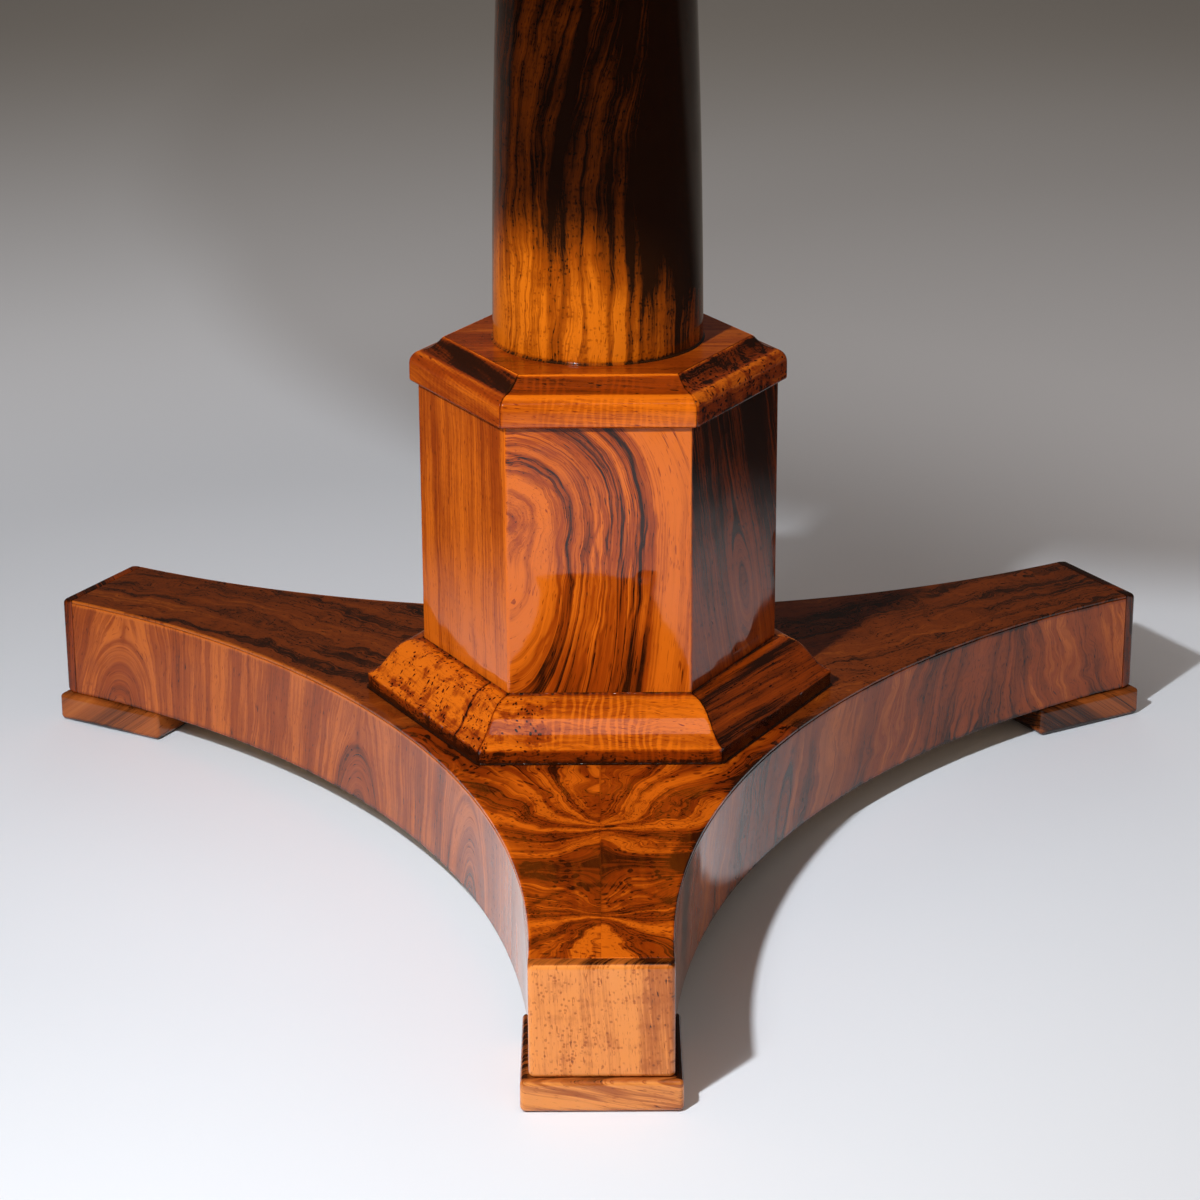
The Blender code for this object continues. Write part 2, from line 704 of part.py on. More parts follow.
def build_bolt():
    channel_half_width = BOLT_WIDTH / 2 + GAP
    channel_low = BOLT_CENTRE_HEIGHT - BOLT_HEIGHT / 2 - GAP
    channel_high = BOLT_CENTRE_HEIGHT + BOLT_HEIGHT / 2 + GAP
    channel = rectangle(channel_half_width, channel_low, channel_high)

    strike_low = channel_low - STRIKE_BORDER
    strike = rectangle(channel_half_width + STRIKE_BORDER, strike_low, BLOCK_TOP - GAP)
    plate = end_view_object("strike_plate", [strike, channel], STRIKE_FACE, STRIKE_FACE + STRIKE_THICKNESS)
    add_piece(plate, BRASS, BASE)

    sleeve = channel_half_width + GUIDE_WALL
    flange = sleeve + GUIDE_FLANGE
    guide_top = UNDERSIDE - GAP
    flange_low = guide_top - GUIDE_WALL
    guide_low = channel_low - GUIDE_WALL
    guide_outline = [
        Vector((-flange, guide_top)),
        Vector((-flange, flange_low)),
        Vector((-sleeve, flange_low)),
        Vector((-sleeve, guide_low)),
        Vector((sleeve, guide_low)),
        Vector((sleeve, flange_low)),
        Vector((flange, flange_low)),
        Vector((flange, guide_top)),
    ]
    guide = end_view_object("bolt_guide", [guide_outline, channel], GUIDE_FRONT, GUIDE_BACK)
    add_piece(guide, BRASS, TILTING_TOP)

    tail = GUIDE_BACK - BOLT_TRAVEL - BOLT_TAIL
    bar = box_object(
        "sliding_bolt",
        (-BOLT_WIDTH / 2, tail, BOLT_CENTRE_HEIGHT - BOLT_HEIGHT / 2),
        (BOLT_WIDTH / 2, BOLT_NOSE, BOLT_CENTRE_HEIGHT + BOLT_HEIGHT / 2),
    )
    add_piece(bar, BRASS, BOLT_CARRIER)
    knob_top = BOLT_CENTRE_HEIGHT
    knob_bottom = BOLT_CENTRE_HEIGHT - BOLT_HEIGHT / 2 - KNOB_LENGTH
    waist = KNOB_RADIUS / 2
    knob = as_mesh(turned_object(
        "bolt_knob",
        [
            (0, knob_top),
            (waist, knob_top),
            (waist, knob_bottom + KNOB_LENGTH / 2),
            (KNOB_RADIUS, knob_bottom + KNOB_LENGTH / 3),
            (KNOB_RADIUS, knob_bottom + KNOB_LENGTH / 8),
            (waist, knob_bottom),
            (0, knob_bottom),
        ],
        PIN_STEPS,
    ))
    knob.location.y = tail + BOLT_TAIL / 2
    use_cutter(bar, knob, "UNION")


build_plinth()
build_pedestal()
build_column()
build_top()
build_apron()
build_block()
build_bearers()
build_bolt()
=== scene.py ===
import math
from functools import partial

import bmesh
import bpy
from mathutils import Matrix, Vector, noise


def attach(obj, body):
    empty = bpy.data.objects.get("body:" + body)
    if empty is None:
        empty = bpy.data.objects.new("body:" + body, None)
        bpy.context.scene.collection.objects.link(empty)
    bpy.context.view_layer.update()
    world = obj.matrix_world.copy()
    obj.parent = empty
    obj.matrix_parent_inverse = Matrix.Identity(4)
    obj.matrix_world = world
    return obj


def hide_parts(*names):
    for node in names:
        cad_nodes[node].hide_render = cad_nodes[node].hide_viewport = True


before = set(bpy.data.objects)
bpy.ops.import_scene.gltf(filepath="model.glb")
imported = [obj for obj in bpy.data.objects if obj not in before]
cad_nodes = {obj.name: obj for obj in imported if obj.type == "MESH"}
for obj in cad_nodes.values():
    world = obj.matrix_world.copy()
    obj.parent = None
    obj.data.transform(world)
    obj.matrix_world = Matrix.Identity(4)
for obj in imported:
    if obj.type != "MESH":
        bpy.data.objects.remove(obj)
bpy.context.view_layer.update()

# Studio: a pale paper floor with grey shade painted on it far behind the table, a small hard lamp left of the
# camera, weak ones far off, above and behind, and two that show only in the polish: a twin of the hard lamp
# and a wide one in front. Reflections see a bright floor only in a painted pool of light round the table.
CAMERA_ELEVATION = math.radians(20.323)
CAMERA_AZIMUTH = math.radians(-0.052)
CAMERA_ROLL = math.radians(-0.264)
CAMERA_DISTANCE = 2.2348
CAMERA_TARGET = Vector((0.0005, 0.0, 0.1454))
SENSOR_WIDTH = 36.0
LENS_LENGTH = 106.13

scene = bpy.context.scene
scene.view_settings.view_transform = "Standard"


def add_object(name, data):
    made = bpy.data.objects.new(name, data)
    scene.collection.objects.link(made)
    return made


camera_data = bpy.data.cameras.new("camera")
camera_data.sensor_width = SENSOR_WIDTH
camera_data.lens = LENS_LENGTH
camera = add_object("camera", camera_data)
backward = Vector((
    math.sin(CAMERA_AZIMUTH) * math.cos(CAMERA_ELEVATION),
    -math.cos(CAMERA_AZIMUTH) * math.cos(CAMERA_ELEVATION),
    math.sin(CAMERA_ELEVATION),
))
level = Vector((math.cos(CAMERA_AZIMUTH), math.sin(CAMERA_AZIMUTH), 0.0))
upright = level.cross(-backward)
right = level * math.cos(CAMERA_ROLL) + upright * math.sin(CAMERA_ROLL)
above = upright * math.cos(CAMERA_ROLL) - level * math.sin(CAMERA_ROLL)
camera.matrix_world = (
    Matrix.Translation(CAMERA_TARGET + backward * CAMERA_DISTANCE)
    @ Matrix((right, above, backward)).transposed().to_4x4()
)
scene.camera = camera


def add_lamp(name, place, target, size, power, colour, spread=180.0, lighting=True, mirrored=True):
    """Lamp of a width and height in metres, round where these are equal, that shines into a cone."""
    lamp_data = bpy.data.lights.new(name, "AREA")
    lamp_data.shape = "ELLIPSE" if size[0] == size[1] else "RECTANGLE"
    lamp_data.size, lamp_data.size_y = size
    lamp_data.energy = power
    lamp_data.color = colour
    lamp_data.spread = math.radians(spread)
    lamp = add_object(name, lamp_data)
    lamp.location = place
    lamp.rotation_mode = "QUATERNION"
    lamp.rotation_quaternion = (Vector(target) - Vector(place)).to_track_quat("-Z", "Y")
    lamp.visible_camera = False
    lamp.visible_diffuse = lighting
    lamp.visible_glossy = mirrored


COOL = (0.94, 0.98, 1.0)
WARM = (1.0, 0.93, 0.86)
KEY_PLACE = (-0.55, -1.15, 1.19)
KEY_TARGET = (0.07, 0.0, 0.10)
add_lamp("key_lamp", KEY_PLACE, KEY_TARGET, (0.07, 0.07), 7.8, COOL, 100.0, mirrored=False)
add_lamp("glint_lamp", KEY_PLACE, KEY_TARGET, (0.12, 0.12), 7.0, COOL, lighting=False)
add_lamp("far_lamp", (-1.5, -2.6, 2.5), (0.0, 0.0, 0.2), (0.5, 0.5), 16.0, COOL)
add_lamp("wide_lamp", (0.0, -2.4, 2.6), (0.0, 0.0, 0.1), (2.4, 0.5), 5.0, COOL, lighting=False)
add_lamp("top_lamp", (0.5, -0.6, 2.9), (0.0, 0.0, 0.77), (1.4, 1.4), 19.5, WARM)
add_lamp("back_lamp", (0.1, 2.9, 1.5), (0.0, 0.0, 0.35), (1.2, 1.2), 4.5, WARM, mirrored=False)


class Nodes:
    """Adds nodes to one tree. An input is given another node's output or a plain value."""

    def __init__(self, tree):
        self.tree = tree

    def fill(self, node, inputs):
        for title, value in inputs.items():
            if isinstance(value, bpy.types.NodeSocket):
                self.tree.links.new(value, node.inputs[title])
            else:
                node.inputs[title].default_value = value

    def add(self, kind, inputs=None, **settings):
        """New node with its settings and inputs. Gives its outputs."""
        node = self.tree.nodes.new(kind)
        for title, value in settings.items():
            setattr(node, title, value)
        self.fill(node, inputs or {})
        return node.outputs

    def calculate(self, operation, *terms):
        return self.add("ShaderNodeMath", dict(enumerate(terms)), operation=operation)[0]

    def total(self, start, *pairs):
        """The start plus each value times its weight."""
        for value, weight in pairs:
            start = self.calculate("MULTIPLY_ADD", value, weight, start)
        return start

    def ease(self, value, low, high):
        """0 below the first limit, 1 above the second and a smooth step between."""
        inputs = {"Value": value, "From Min": low, "From Max": high}
        return self.add("ShaderNodeMapRange", inputs, interpolation_type="SMOOTHSTEP")[0]

    def blend(self, share, first, second):
        """Mix of two colours."""
        return self.add("ShaderNodeMix", {0: share, 6: first, 7: second}, data_type="RGBA")[2]

    def part(self, vector, axis):
        return self.add("ShaderNodeSeparateXYZ", {0: vector})[axis]

    def combine(self, x, y, z):
        return self.add("ShaderNodeCombineXYZ", {0: x, 1: y, 2: z})[0]

    def place(self):
        """The place in the table, in metres."""
        return self.add("ShaderNodeTexCoord")["Object"]


WORLD_COLOUR = (1.0, 0.91, 0.83, 1.0)
WORLD_LIGHT = 0.20
WORLD_GLOSS = 0.04
WORLD_BACKGROUND = 0.060
world = bpy.data.worlds.new("studio")
world.use_nodes = True
sky = Nodes(world.node_tree)
rays = sky.add("ShaderNodeLightPath")
sky_strength = sky.total(
    WORLD_LIGHT,
    (rays["Is Camera Ray"], WORLD_BACKGROUND - WORLD_LIGHT),
    (rays["Is Glossy Ray"], WORLD_GLOSS - WORLD_LIGHT),
)
sky.fill(world.node_tree.nodes["Background"], {"Color": WORLD_COLOUR, "Strength": sky_strength})
scene.world = world

FLOOR_HALF = 40.0
FLOOR_DROP = 0.0004
floor_mesh = bpy.data.meshes.new("floor")
floor_mesh.from_pydata(
    [(x * FLOOR_HALF, y * FLOOR_HALF, -FLOOR_DROP) for x, y in ((-1, -1), (1, -1), (1, 1), (-1, 1))],
    [],
    [(0, 1, 2, 3)],
)
floor = add_object("floor", floor_mesh)


def new_material(name):
    """Material, and a tool that adds nodes to it."""
    material = bpy.data.materials.new(name)
    material.use_nodes = True
    return material, Nodes(material.node_tree)


def fill_shader(nodes, inputs):
    nodes.fill(nodes.tree.nodes["Principled BSDF"], inputs)


PAPER_NEAR = (0.78, 0.80, 0.85, 1.0)
PAPER_MIDDLE = (0.88, 0.91, 0.98, 1.0)
# Painted shade: the paper turns grey far behind the table.
PAINTED_FAR_SHADE = (0.36, 0.34, 0.32, 1.0)
# Painted light for reflections only: the polish sees the floor in this colour inside a painted pool of light
# round the table, and in painted shade outside it.
PAPER_MIRRORED = (0.88, 0.90, 0.95, 1.0)
REFLECTED_PAINTED_SHADE_NEAR = (0.05, 0.05, 0.05, 1.0)
REFLECTED_PAINTED_SHADE_FAR = (0.40, 0.37, 0.34, 1.0)
NEAR_FADE = (-0.6, 0.1)
PAINTED_FAR_SHADE_FADE = (0.45, 2.7)
REFLECTED_PAINTED_SHADE_FADE = (0.7, 1.3)
PAINTED_POOL_MIDDLE = (0.10, -0.25)
PAINTED_POOL_NARROWING = 1.20
PAINTED_POOL_EDGE = (0.65, 1.00)
paper, nodes = new_material("floor_paper")
floor_y = nodes.part(nodes.place(), "Y")
paper_colour = nodes.blend(nodes.ease(floor_y, *NEAR_FADE), PAPER_NEAR, PAPER_MIDDLE)
paper_colour = nodes.blend(nodes.ease(floor_y, *PAINTED_FAR_SHADE_FADE), paper_colour, PAINTED_FAR_SHADE)
painted_pool_x = nodes.calculate("SUBTRACT", nodes.part(nodes.place(), "X"), PAINTED_POOL_MIDDLE[0])
painted_pool_x = nodes.calculate("MULTIPLY", painted_pool_x, PAINTED_POOL_NARROWING)
painted_pool_y = nodes.calculate("SUBTRACT", floor_y, PAINTED_POOL_MIDDLE[1])
painted_pool_place = nodes.combine(painted_pool_x, painted_pool_y, 0.0)
painted_pool_distance = nodes.add("ShaderNodeVectorMath", {0: painted_pool_place}, operation="LENGTH")["Value"]
mirrored = nodes.add("ShaderNodeLightPath")["Is Glossy Ray"]
# Painted shade that only reflections see, outside the pool.
reflected_painted_shade = nodes.calculate("MULTIPLY", nodes.ease(painted_pool_distance, *PAINTED_POOL_EDGE), mirrored)
reflected_painted_shade_paper = nodes.blend(nodes.ease(floor_y, *REFLECTED_PAINTED_SHADE_FADE), REFLECTED_PAINTED_SHADE_NEAR, REFLECTED_PAINTED_SHADE_FAR)
paper_colour = nodes.blend(mirrored, paper_colour, PAPER_MIRRORED)
paper_colour = nodes.blend(reflected_painted_shade, paper_colour, reflected_painted_shade_paper)
fill_shader(nodes, {"Base Color": paper_colour, "Roughness": 0.75, "Specular IOR Level": 0.2})
floor_mesh.materials.append(paper)

# Feet: three flat pads of solid walnut with rounded edges, glued and screwed up into the ends of the
# arms. Their grain lies across the arm. This section also makes the walnut and its French polish.
ARM_ANGLES = {"front": -90.0, "right": 30.0, "left": 150.0}
ARM_REACH = 0.400
ARM_HALF_END = 0.0395
FOOT_HEIGHT = 0.0186
FOOT_LENGTH = 0.083
FOOT_HALF_WIDTH = ARM_HALF_END + 0.0048
FOOT_END = ARM_REACH + 0.0032
FOOT_ROUNDING = 0.003
FOOT_FADING = 1.6
FOOT_DARKNESS = {"front": -0.07, "right": 0.66, "left": 0.50}
BLOCK_CUTS = 40
ROUNDING_CUTS = 4
BUTT_ARRIS = 0.0005
SHARP_ANGLE = math.radians(38)
ARRIS_ANGLE = math.radians(40)

# A seed moves the grain of a piece to another place in the wood, so that no two pieces look alike.
FOOT_SEED = 3.0


def streak_noise(nodes, place, across, along, depth, detail, roughness=0.5, through=1.0):
    """Noise with this many features to the metre across the grain, along it and through the wood. Each
    effect has a depth of its own, so that no two share a pattern."""
    scaling = {0: place, 1: (across, along, through), 2: (0.0, 0.0, depth)}
    scaled = nodes.add("ShaderNodeVectorMath", scaling, operation="MULTIPLY_ADD")[0]
    inputs = {"Vector": scaled, "Scale": 1.0, "Detail": detail, "Roughness": roughness}
    return nodes.add("ShaderNodeTexNoise", inputs)[0]


def swing_noise(nodes, place, across, along, depth, detail):
    """Streak noise that swings about zero."""
    return nodes.calculate("SUBTRACT", streak_noise(nodes, place, across, along, depth, detail), 0.5)


def line_at(nodes, value, level, core, rim):
    """1 where a value passes through a level, fading to 0 on both sides."""
    away = nodes.calculate("ABSOLUTE", nodes.calculate("SUBTRACT", value, level))
    return nodes.calculate("SUBTRACT", 1.0, nodes.ease(away, core, rim))


def new_group(name, inputs, outputs):
    """Shader group with named inputs, each at its usual value, and named outputs."""
    group = bpy.data.node_groups.new(name, "ShaderNodeTree")
    for title, value in inputs.items():
        length = len(value) if isinstance(value, tuple) else 1
        kind = {1: "NodeSocketFloat", 3: "NodeSocketVector", 4: "NodeSocketColor"}[length]
        group.interface.new_socket(title, in_out="INPUT", socket_type=kind).default_value = value
    for title in outputs:
        kind = "NodeSocketColor" if title == "Colour" else "NodeSocketFloat"
        group.interface.new_socket(title, in_out="OUTPUT", socket_type=kind)
    nodes = Nodes(group)
    return group, nodes, nodes.add("NodeGroupInput")


def make_walnut_figure():
    """Figure of sawn walnut: broad zones, dark veins with inky edges, threads, fibres, pores and burr. The
    grain is the place across and along the wood, and the shade is added to the darkness."""
    usual = {
        "Grain": (0.0, 0.0, 0.0),
        "Seed": 0.0,
        "Figure": 1.0,
        "Shade": 0.0,
        "Darkness": 0.2,
        "Zones": 0.4,
        "Streaks": 0.6,
        "Density": 1.0,
        "Wave": 0.004,
        "Curl": 0.0,
        "Ripple": 0.02,
        "Burr": 0.0,
        "Pale": (0.62, 0.125, 0.005, 1.0),
        "Middle": (0.29, 0.040, 0.0015, 1.0),
        "Dark": (0.020, 0.0038, 0.0007, 1.0),
    }
    group, nodes, given = new_group("walnut_figure", usual, ("Colour", "Pores"))
    across = nodes.part(given["Grain"], "X")
    along = nodes.part(given["Grain"], "Y")
    plain = nodes.combine(across, along, given["Seed"])
    sway = swing_noise(nodes, plain, 20.0, 7.0, 0.0, 2.0)
    quiver = swing_noise(nodes, plain, 95.0, 34.0, 3.1, 1.0)
    curl_across = swing_noise(nodes, plain, 38.0, 38.0, 40.0, 2.0)
    curl_along = swing_noise(nodes, plain, 38.0, 38.0, 47.0, 2.0)
    bend = nodes.total(0.0, (sway, 2.0), (quiver, 0.5))
    bent = nodes.total(across, (bend, given["Wave"]), (curl_across, given["Curl"]))
    slid = nodes.total(along, (curl_along, given["Curl"]))
    fine = nodes.combine(bent, slid, given["Seed"])
    flow = nodes.combine(nodes.calculate("MULTIPLY", bent, given["Density"]), slid, given["Seed"])

    zones = nodes.ease(streak_noise(nodes, flow, 26.0, 2.0, 5.0, 3.0), 0.34, 0.66)
    veins = streak_noise(nodes, flow, 75.0, 2.6, 17.0, 4.0, 0.60)
    bands = nodes.ease(veins, 0.52, 0.62)
    inky_edges = line_at(nodes, veins, 0.53, 0.008, 0.045)
    hair_lines = line_at(nodes, veins, 0.43, 0.003, 0.020)
    threads = line_at(nodes, streak_noise(nodes, flow, 230.0, 5.0, 19.0, 3.0, 0.6), 0.5, 0.0, 0.035)
    thin_lines = nodes.total(0.0, (hair_lines, 0.40), (threads, 0.28))
    strong_years = nodes.ease(streak_noise(nodes, flow, 34.0, 1.0, 13.0, 2.0), 0.42, 0.60)
    streaks = nodes.total(0.0, (bands, 0.40), (inky_edges, 0.52), (thin_lines, strong_years))

    fibres = swing_noise(nodes, fine, 850.0, 22.0, 21.0, 2.0)
    mottle = swing_noise(nodes, fine, 62.0, 26.0, 35.0, 3.0)
    stripes = swing_noise(nodes, flow, 250.0, 5.0, 37.0, 2.0)
    pores = nodes.ease(streak_noise(nodes, plain, 1600.0, 190.0, 25.0, 1.0), 0.62, 0.72)
    flecks = nodes.ease(streak_noise(nodes, fine, 620.0, 110.0, 27.0, 1.0), 0.68, 0.76)

    ripple_bend = nodes.calculate("MULTIPLY", streak_noise(nodes, plain, 30.0, 40.0, 29.0, 2.0), 17.0)
    ripple_wave = nodes.calculate("SINE", nodes.calculate("MULTIPLY_ADD", along, 1350.0, ripple_bend))
    ripple_crests = nodes.ease(ripple_wave, -0.3, 1.0)
    ripple_patches = nodes.ease(streak_noise(nodes, plain, 22.0, 22.0, 31.0, 2.0), 0.36, 0.58)
    plainness = nodes.calculate("MAXIMUM", nodes.calculate("SUBTRACT", 1.0, given["Figure"]), 0.0)
    ripple_share = nodes.calculate("MULTIPLY", ripple_patches, plainness)
    ripple = nodes.calculate("MULTIPLY", nodes.calculate("SUBTRACT", 0.4, ripple_crests), ripple_share)

    swirls = nodes.ease(streak_noise(nodes, fine, 85.0, 85.0, 33.0, 5.0, 0.65), 0.46, 0.66)
    buds = nodes.add("ShaderNodeTexVoronoi", {"Vector": fine, "Scale": 420.0})
    clusters = streak_noise(nodes, fine, 42.0, 42.0, 39.0, 3.0)
    chosen = nodes.ease(nodes.total(nodes.part(buds["Color"], "X"), (clusters, 2.6)), 1.80, 1.90)
    eyes = nodes.calculate("SUBTRACT", 1.0, nodes.ease(buds["Distance"], 0.20, 0.44))
    burr = nodes.total(-0.25, (swirls, 0.55), (eyes, chosen))

    darkness = nodes.total(
        nodes.calculate("ADD", given["Darkness"], given["Shade"]),
        (nodes.calculate("SUBTRACT", zones, 0.5), given["Zones"]),
        (nodes.calculate("MULTIPLY", streaks, given["Figure"]), given["Streaks"]),
        (fibres, 0.40),
        (mottle, 0.40),
        (stripes, 0.36),
        (ripple, given["Ripple"]),
        (nodes.calculate("MULTIPLY", burr, given["Figure"]), given["Burr"]),
        (pores, 0.30),
        (flecks, 0.45),
    )
    warm = nodes.blend(nodes.ease(darkness, 0.0, 0.5), given["Pale"], given["Middle"])
    colour = nodes.blend(nodes.ease(darkness, 0.45, 1.0), warm, given["Dark"])
    nodes.add("NodeGroupOutput", {"Colour": colour, "Pores": pores})
    return group


def make_french_polish():
    """Shellac worked on with a rubber by hand: uneven gloss, thinner over the pores, with small dents."""
    usual = {"Place": (0.0, 0.0, 0.0), "Pores": 0.0}
    group, nodes, given = new_group("french_polish", usual, ("Roughness", "Coat", "Height"))

    def even_noise(scale, depth, detail):
        return streak_noise(nodes, given["Place"], scale, scale, depth, detail, through=scale)

    pores = given["Pores"]
    rubbing = even_noise(9.0, 0.0, 3.0)
    smears = even_noise(42.0, 4.0, 2.0)
    dents = nodes.ease(even_noise(120.0, 8.0, 1.0), 0.66, 0.80)
    coat = nodes.total(0.78, (smears, 0.30), (pores, -0.15), (dents, -0.10))
    results = {
        "Roughness": nodes.total(0.30, (rubbing, 0.18), (pores, 0.20)),
        "Coat": nodes.calculate("MINIMUM", coat, 1.0),
        "Height": nodes.total(0.5, (pores, -0.35), (dents, -0.30), (smears, 0.10)),
    }
    nodes.add("NodeGroupOutput", results)
    return group


walnut_figure = make_walnut_figure()
french_polish = make_french_polish()


def turned_place(nodes, degrees):
    inputs = {"Vector": nodes.place(), "Rotation": [math.radians(angle) for angle in degrees]}
    return nodes.add("ShaderNodeMapping", inputs)[0]


def bump(nodes, height, strength, distance):
    return nodes.add("ShaderNodeBump", {"Height": height, "Strength": strength, "Distance": distance})[0]


def polished_walnut(name, grain_turn=None, **values):
    """Walnut with its own figure and colours. The grain comes from the piece's UV map, or, with a turn
    given in degrees, from its place in the table."""
    material, nodes = new_material(name)
    if grain_turn is None:
        values["Grain"] = nodes.add("ShaderNodeUVMap", uv_map="grain")[0]
        values["Figure"] = nodes.add("ShaderNodeAttribute", attribute_name="figure")["Fac"]
        values["Shade"] = nodes.add("ShaderNodeAttribute", attribute_name="shade")["Fac"]
    else:
        values["Grain"] = turned_place(nodes, grain_turn)
    figure = nodes.add("ShaderNodeGroup", values, node_tree=walnut_figure)
    film = {"Place": nodes.place(), "Pores": figure["Pores"]}
    polish = nodes.add("ShaderNodeGroup", film, node_tree=french_polish)
    inputs = {
        "Base Color": figure["Colour"],
        "Roughness": polish["Roughness"],
        "Coat Weight": polish["Coat"],
        "Coat Roughness": 0.05,
        "Specular IOR Level": 0.02,
        "Normal": bump(nodes, polish["Height"], strength=0.25, distance=0.0004),
    }
    fill_shader(nodes, inputs)
    return material


def steps(first, last, count, edge=0.0):
    """Even steps, with one short step of the given width at each end."""
    if not edge:
        return [first + (last - first) * i / count for i in range(count + 1)]
    inner = [first + edge + (last - first - 2 * edge) * i / (count - 2) for i in range(count - 1)]
    return [first] + inner + [last]


def turned(x, y, z, degrees):
    """A point turned about the table's axis."""
    angle = math.radians(degrees)
    return Vector((
        x * math.cos(angle) - y * math.sin(angle),
        x * math.sin(angle) + y * math.cos(angle),
        z,
    ))


def rising(value, low, high):
    """0 below the first limit, 1 above the second and a smooth step between."""
    share = min(1.0, max(0.0, (value - low) / (high - low)))
    return share * share * (3 - 2 * share)


def falling(value, low, high):
    return 1.0 - rising(value, low, high)


def bell(value, middle, width):
    """1 at the middle, fading smoothly to 0 on both sides."""
    return math.exp(-(((value - middle) / width) ** 2))


def wood_sheet(name, columns, rows, place, grain, figure, shade, closed=False, looped=False):
    """Grid of points at the columns and rows. Grain gives across and along, in metres, figure the strength
    of the streaks and shade what is added to the darkness. A closed sheet joins its last column to its
    first. A looped one joins its last row to its first, and fills its two ends unless it is closed too."""
    count = len(columns) - 1 if closed else len(columns)
    turns = len(rows)
    faces = []
    corners = []
    for j in range(turns if looped else turns - 1):
        for i in range(len(columns) - 1):
            square = [(i, j), (i + 1, j), (i + 1, j + 1), (i, j + 1)]
            corners.append(square)
            faces.append([(row % turns) * count + column % count for column, row in square])
    if looped and not closed:
        for column, order in ((0, 1), (len(columns) - 1, -1)):
            loop = [(column, row) for row in range(turns)][::order]
            corners.append(loop)
            faces.append([row * count + column for column, row in loop])
    grid = [(s, t) for t in rows for s in columns[:count]]
    mesh = bpy.data.meshes.new(name)
    mesh.from_pydata([place(s, t) for s, t in grid], [], faces)
    layer = mesh.uv_layers.new(name="grain")
    places = [corner for square in corners for corner in square]
    for loop, (column, row) in zip(layer.data, places):
        loop.uv = grain(columns[column], rows[row % turns])
    for title, paint in (("figure", figure), ("shade", shade)):
        attribute = mesh.attributes.new(title, "FLOAT", "POINT")
        attribute.data.foreach_set("value", [paint(s, t) for s, t in grid])
    mesh.shade_smooth()
    mesh.set_sharp_from_angle(angle=SHARP_ANGLE)
    return add_object(name, mesh)


def even_figure(strength, s, t):
    """Streaks of one strength all over a sheet."""
    return strength


full_figure = partial(even_figure, 1.0)


def thicken(piece, thickness):
    """Gives a sheet its thickness inwards."""
    solid = piece.modifiers.new("thickness", "SOLIDIFY")
    solid.thickness = thickness
    solid.offset = -1.0
    return solid


def soften(piece, arris, thickness=0.0):
    """Gives a sheet its thickness, and every sharp edge a worn arris."""
    if thickness:
        thicken(piece, thickness).use_even_offset = True
    bevel = piece.modifiers.new("arris", "BEVEL")
    bevel.width = arris
    bevel.segments = 3
    bevel.limit_method = "ANGLE"
    bevel.angle_limit = ARRIS_ANGLE
    piece.modifiers.new("flat_faces", "WEIGHTED_NORMAL").keep_sharp = False
    return piece


def hand_over(piece, material, body, slot, *nodes):
    """Finishes a piece that takes the place of CAD nodes."""
    piece.data.materials.clear()
    piece.data.materials.append(material)
    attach(piece, body)
    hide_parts(*nodes)


def block_level(share, low, high, rounding):
    """Place along one side of a block for a share of -0.5 to 0.5, with close steps in the rounding."""
    step = round((share + 0.5) * BLOCK_CUTS)
    if step <= ROUNDING_CUTS:
        return low + rounding * step / ROUNDING_CUTS
    if step >= BLOCK_CUTS - ROUNDING_CUTS:
        return high - rounding * (BLOCK_CUTS - step) / ROUNDING_CUTS
    inner = (step - ROUNDING_CUTS) / (BLOCK_CUTS - 2 * ROUNDING_CUTS)
    return low + rounding + (high - low - 2 * rounding) * inner


def rounded(point, low, high, rounding, butted):
    """Moves a point of a block's surface in to its round edges. A butted block stays square at its inner
    end, where it meets the arm."""
    reach = rising(point[0], low[0], high[0]) if butted else 1.0
    flank = BUTT_ARRIS + (rounding - BUTT_ARRIS) * reach
    radii = (rounding, flank, flank)
    core = [min(max(p, a + r), b - r) for p, a, b, r in zip(point, low, high, radii)]
    if butted:
        core[0] = min(point[0], high[0] - rounding)
    away = Vector((p - c) / r for p, c, r in zip(point, core, radii))
    away.normalize()
    return Vector(c + a * r for c, a, r in zip(core, away, radii))


def wood_block(name, low, high, degrees, rounding, grain, figure, shade, butted=False):
    """Block between two corners of the arm's own frame, in which X runs out along the arm, cut into small
    squares and rounded. Its streaks have one strength all over."""
    shape = bmesh.new()
    bmesh.ops.create_cube(shape, size=1.0)
    bmesh.ops.subdivide_edges(shape, edges=shape.edges[:], cuts=BLOCK_CUTS - 1, use_grid_fill=True)
    for vertex in shape.verts:
        square = [block_level(share, a, b, rounding) for share, a, b in zip(vertex.co, low, high)]
        vertex.co = rounded(square, low, high, rounding, butted)
    layer = shape.loops.layers.uv.new("grain")
    strength = shape.verts.layers.float.new("figure")
    tint = shape.verts.layers.float.new("shade")
    for face in shape.faces:
        for loop in face.loops:
            loop[layer].uv = grain(loop.vert.co)
    for vertex in shape.verts:
        vertex[strength] = figure
        vertex[tint] = shade(vertex.co)
        vertex.co = turned(*vertex.co, degrees)
    mesh = bpy.data.meshes.new(name)
    shape.to_mesh(mesh)
    shape.free()
    mesh.shade_smooth()
    return soften(add_object(name, mesh), BUTT_ARRIS)


def foot_grain(number, point):
    across = point.z + 0.75 * point.x + 0.22 * point.y
    return across + FOOT_SEED * number, point.y + 0.1 * point.z


